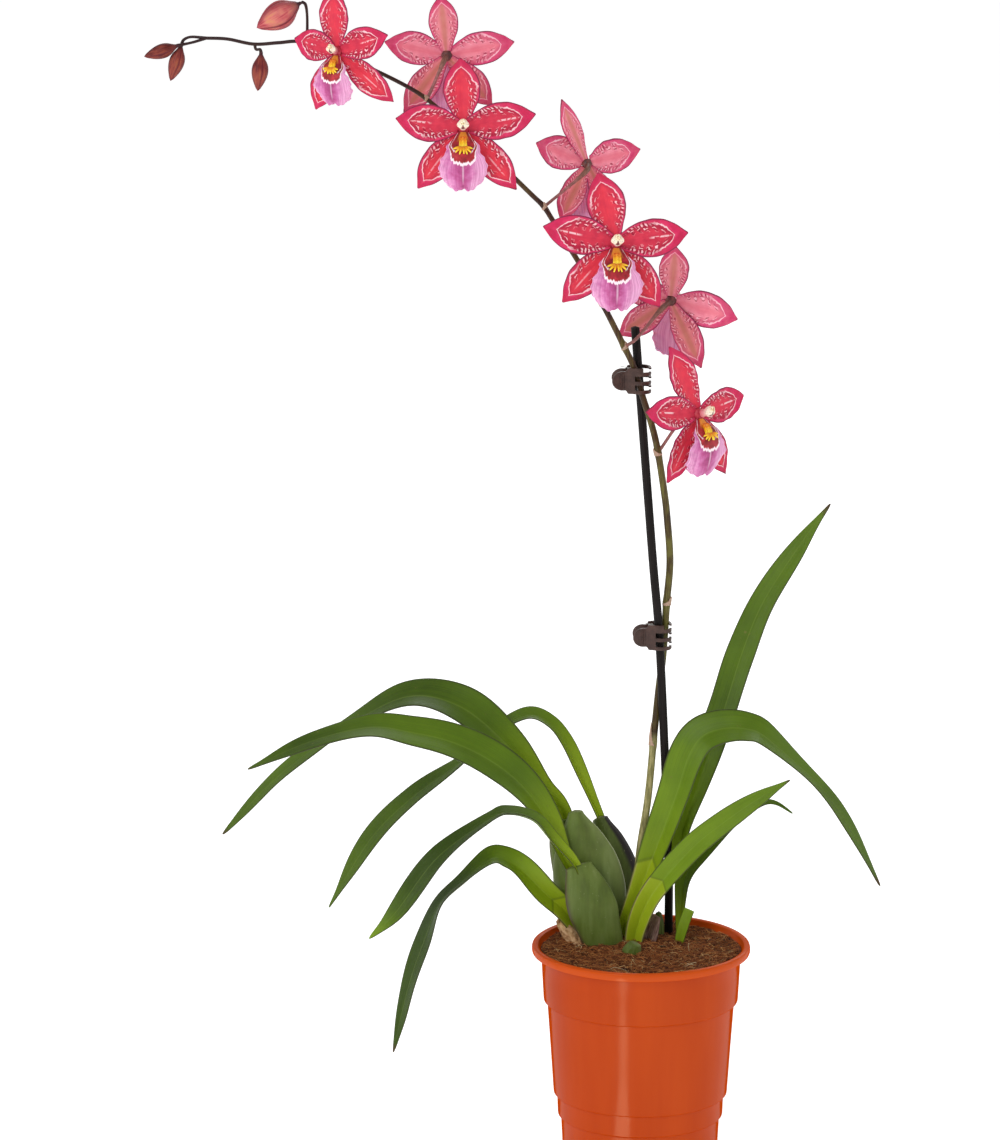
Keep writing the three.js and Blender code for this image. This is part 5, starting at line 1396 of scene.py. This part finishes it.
# ---- The two claw clips: moulded jaws that hold the spike to the stake ---------------------------------
# Each is a back jaw with its pin and a front jaw that turns about it: a ribbed thumb tab, a plate and three
# curved fingers, moulded in brown plastic with rounded edges. A steel coil on the pin keeps them shut.
WINDOW_AT, WINDOW_SIDES = (5.6, 6), (6, 9)
CLIPS = {"upper": (-7.4, 12.5, 437.8), "lower": (5, 26.2, 292.6)}
JAW_WALL, JAW_HEIGHT = 1.4, 14
TAB_LINE = [(-9.6, 6.5, 0), (-6.8, 5.5, 0), (-4, 4.7, 0), (-1.2, 4.6, 0), (1, 5.2, 0), (3.2, 6.1, 0),
            (5.2, 6.5, 0), (7, 6.3, 0)]
FINGER_LINE = [(5.2, 6.5, 0), (7, 6.3, 0), (9.5, 5, 0), (10.7, 2.6, 0), (10.9, -1.2, 0)]
FINGER_PITCH, FINGER_HEIGHT, FINGER_SHIFT = 4.9, 2, 2.3
KNUCKLE, KNUCKLE_HALF, PIN = 1.6, 2.6, 0.7


def rounded(piece, width, segments):
    """Rounds the sharp edges of a moulded piece."""
    sharp = math.radians(50)
    worked(piece, "BEVEL", width=width * MM, segments=segments, limit_method="ANGLE", angle_limit=sharp)


def block(middle, sides):
    """A block with its middle and sides in millimetres."""
    place, scale = ([value * MM for value in three] for three in (middle, sides))
    bpy.ops.mesh.primitive_cube_add(size=1, location=place, scale=scale)


def bent_wall(name, route, low, high, steps, outline, openings=()):
    """A moulded wall of even thickness along a line, with windows between its fingers and rounded edges."""
    line = Route(route)

    def place(u, v):
        far, middle = line.at(u), (low + high) / 2
        return Vector((far.x, far.y, middle + (high - low) / 2 * outline(far) * (2 * v - 1)))

    wall = grid(name, steps, 6, place)
    worked(wall, "SOLIDIFY", thickness=JAW_WALL * MM, offset=0, use_even_offset=True)
    for middle in openings:
        block((*WINDOW_AT, middle), (*WINDOW_SIDES, FINGER_PITCH - FINGER_HEIGHT))
        cut(wall, bpy.context.object)
    rounded(wall, 0.35, 3)
    return wall


def tab_outline(far):
    """The thumb tab is rounded at its end and narrows a little towards the pin."""
    if far.x < -4.2:
        return max(0.06, math.sqrt(max(0, 1 - ((far.x + 4.2) / 5.45) ** 2))) * 0.74
    return 0.74 + 0.26 * max(0, min(1, (far.x + 2.6) / 1.4)) ** 2


def finger_outline(far):
    """A finger tapers to a blunt point where it curls round."""
    return 1 - 0.62 * max(0, min(1, (5.6 - far.y) / 6.8))


def jaw(name, lugs, shift, front):
    """One jaw in its own place round the pin, from its thumb tab to its fingers."""
    half = JAW_HEIGHT / 2
    openings = [(k + 0.5) * FINGER_PITCH + shift for k in (-1, 0)]
    parts = [bent_wall(name, TAB_LINE, -half, half, 40, tab_outline, openings)]
    for k in (-1, 0, 1):
        low = k * FINGER_PITCH + shift - FINGER_HEIGHT / 2
        finger = f"{name}_finger_{k + 1}"
        parts.append(bent_wall(finger, FINGER_LINE, low, low + FINGER_HEIGHT, 28, finger_outline))
    for i in range(5):
        # Grip ribs across the tab.
        x = -8.3 + 1.2 * i
        y = 5.15 + 0.045 * (x + 4) ** 2 + 0.45
        long = 0.74 * half * math.sqrt(max(0.05, 1 - ((x + 4.2) / 5.1) ** 2)) * 0.8
        line = [(x, y, -long), (x, y + 0.02, 0), (x, y, long)]
        parts.append(tube(f"{name}_rib_{i}", line, (0.3, 0.34, 0.3), 10, 8))
    for low, high in lugs:
        middle, deep = (low + high) / 2, high - low
        bpy.ops.object.select_all(action="DESELECT")
        bpy.ops.mesh.primitive_cylinder_add(
            vertices=32, radius=KNUCKLE * MM, depth=deep * MM, location=(0, 0, middle * MM),
        )
        knuckle = bpy.context.object
        bpy.ops.object.select_all(action="DESELECT")
        block((0, 2.6, middle), (2, 4.2, deep))
        web = bpy.context.object
        for piece in (knuckle, web):
            only(piece)
            bpy.ops.object.transform_apply(location=True, rotation=True, scale=True)
        cut(knuckle, web, "UNION")
        if front:
            bpy.ops.mesh.primitive_cylinder_add(vertices=24, radius=(PIN + 0.2) * MM, depth=0.04)
            cut(knuckle, bpy.context.object)
        rounded(knuckle, 0.2, 2)
        parts.append(knuckle)
    return joined(parts, name)


def set_in_place(piece, at, front):
    """Moves a jaw's mesh to its clip; the front jaw is the mirror image, so its faces are turned back."""
    for vertex in piece.data.vertices:
        x, y, z = vertex.co
        vertex.co = (x + at[0] * MM, (-y if front else y) + at[1] * MM, z + at[2] * MM)
    if front:
        piece.data.flip_normals()
    smoothed(piece, 45)


# Polypropylene, brown and slightly cloudy, with a fine moulded grain.
brown_plastic, add = finish("moulded_brown_plastic", IOR=1.49, Specular_IOR_Level=0.3)
where = add("TexCoord", out="Object")
cloud = add("TexNoise", where, 300, 4)
brown = add("ValToRGB", cloud, (0.3, "#36241f"), (0.55, "#45302a"), (0.75, "#523c34"))
grain = add("TexNoise", where, 2400, 2)
relief = add("Bump", Height=grain, Strength=0.15, Distance=0.0001)
gloss = add("MapRange", cloud, 0, 1, 0.28, 0.45)
coat(brown_plastic, Base_Color=brown, Roughness=gloss, Normal=relief)
steel, add = finish("spring_steel", Base_Color="#9a9a96", Metallic=1, Roughness=0.32)

for clip, at in CLIPS.items():
    over = KNUCKLE_HALF + 0.3
    lugs = [(-KNUCKLE_HALF - 3.2, -over), (over, KNUCKLE_HALF + 3.2)]
    back = jaw(f"clip_{clip}_back_shell", lugs, FINGER_SHIFT / 2, False)
    reach = KNUCKLE_HALF + 3.6
    pin = tube(f"clip_{clip}_pin", [(0, 0, -reach), (0, 0.001, 0), (0, 0, reach)], (PIN, PIN, PIN), 20, 20)
    back = joined([back, pin], f"clip_{clip}_back_shell")
    set_in_place(back, at, False)
    front = jaw(f"clip_{clip}_front_shell", [(-KNUCKLE_HALF, KNUCKLE_HALF)], -FINGER_SHIFT / 2, True)
    set_in_place(front, at, True)
    for piece, body in ((back, "back"), (front, "front")):
        piece.data.materials.append(brown_plastic)
        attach(piece, "plant" if body == "back" else f"clip_{clip}_jaw")
        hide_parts(f"clip_{clip}_{body}_jaw")
    # The coil sits round the pin between the top lug and the pin's end, and its legs press on the tabs.
    turns = [(1.15 * math.cos(a), 1.15 * math.sin(a), 5.95 + 0.07 * a / math.pi) for a in
             [math.radians(90 + 24 * k) for k in range(38)]]
    coil = tube(f"clip_{clip}_coil", [*turns, (-3, 2.6, 6.35), (-5, 3.9, 6.2)], (0.18, 0.18, 0.18), 8, 260)
    set_in_place(coil, at, False)
    coil.data.materials.append(steel)
    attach(coil, "plant")
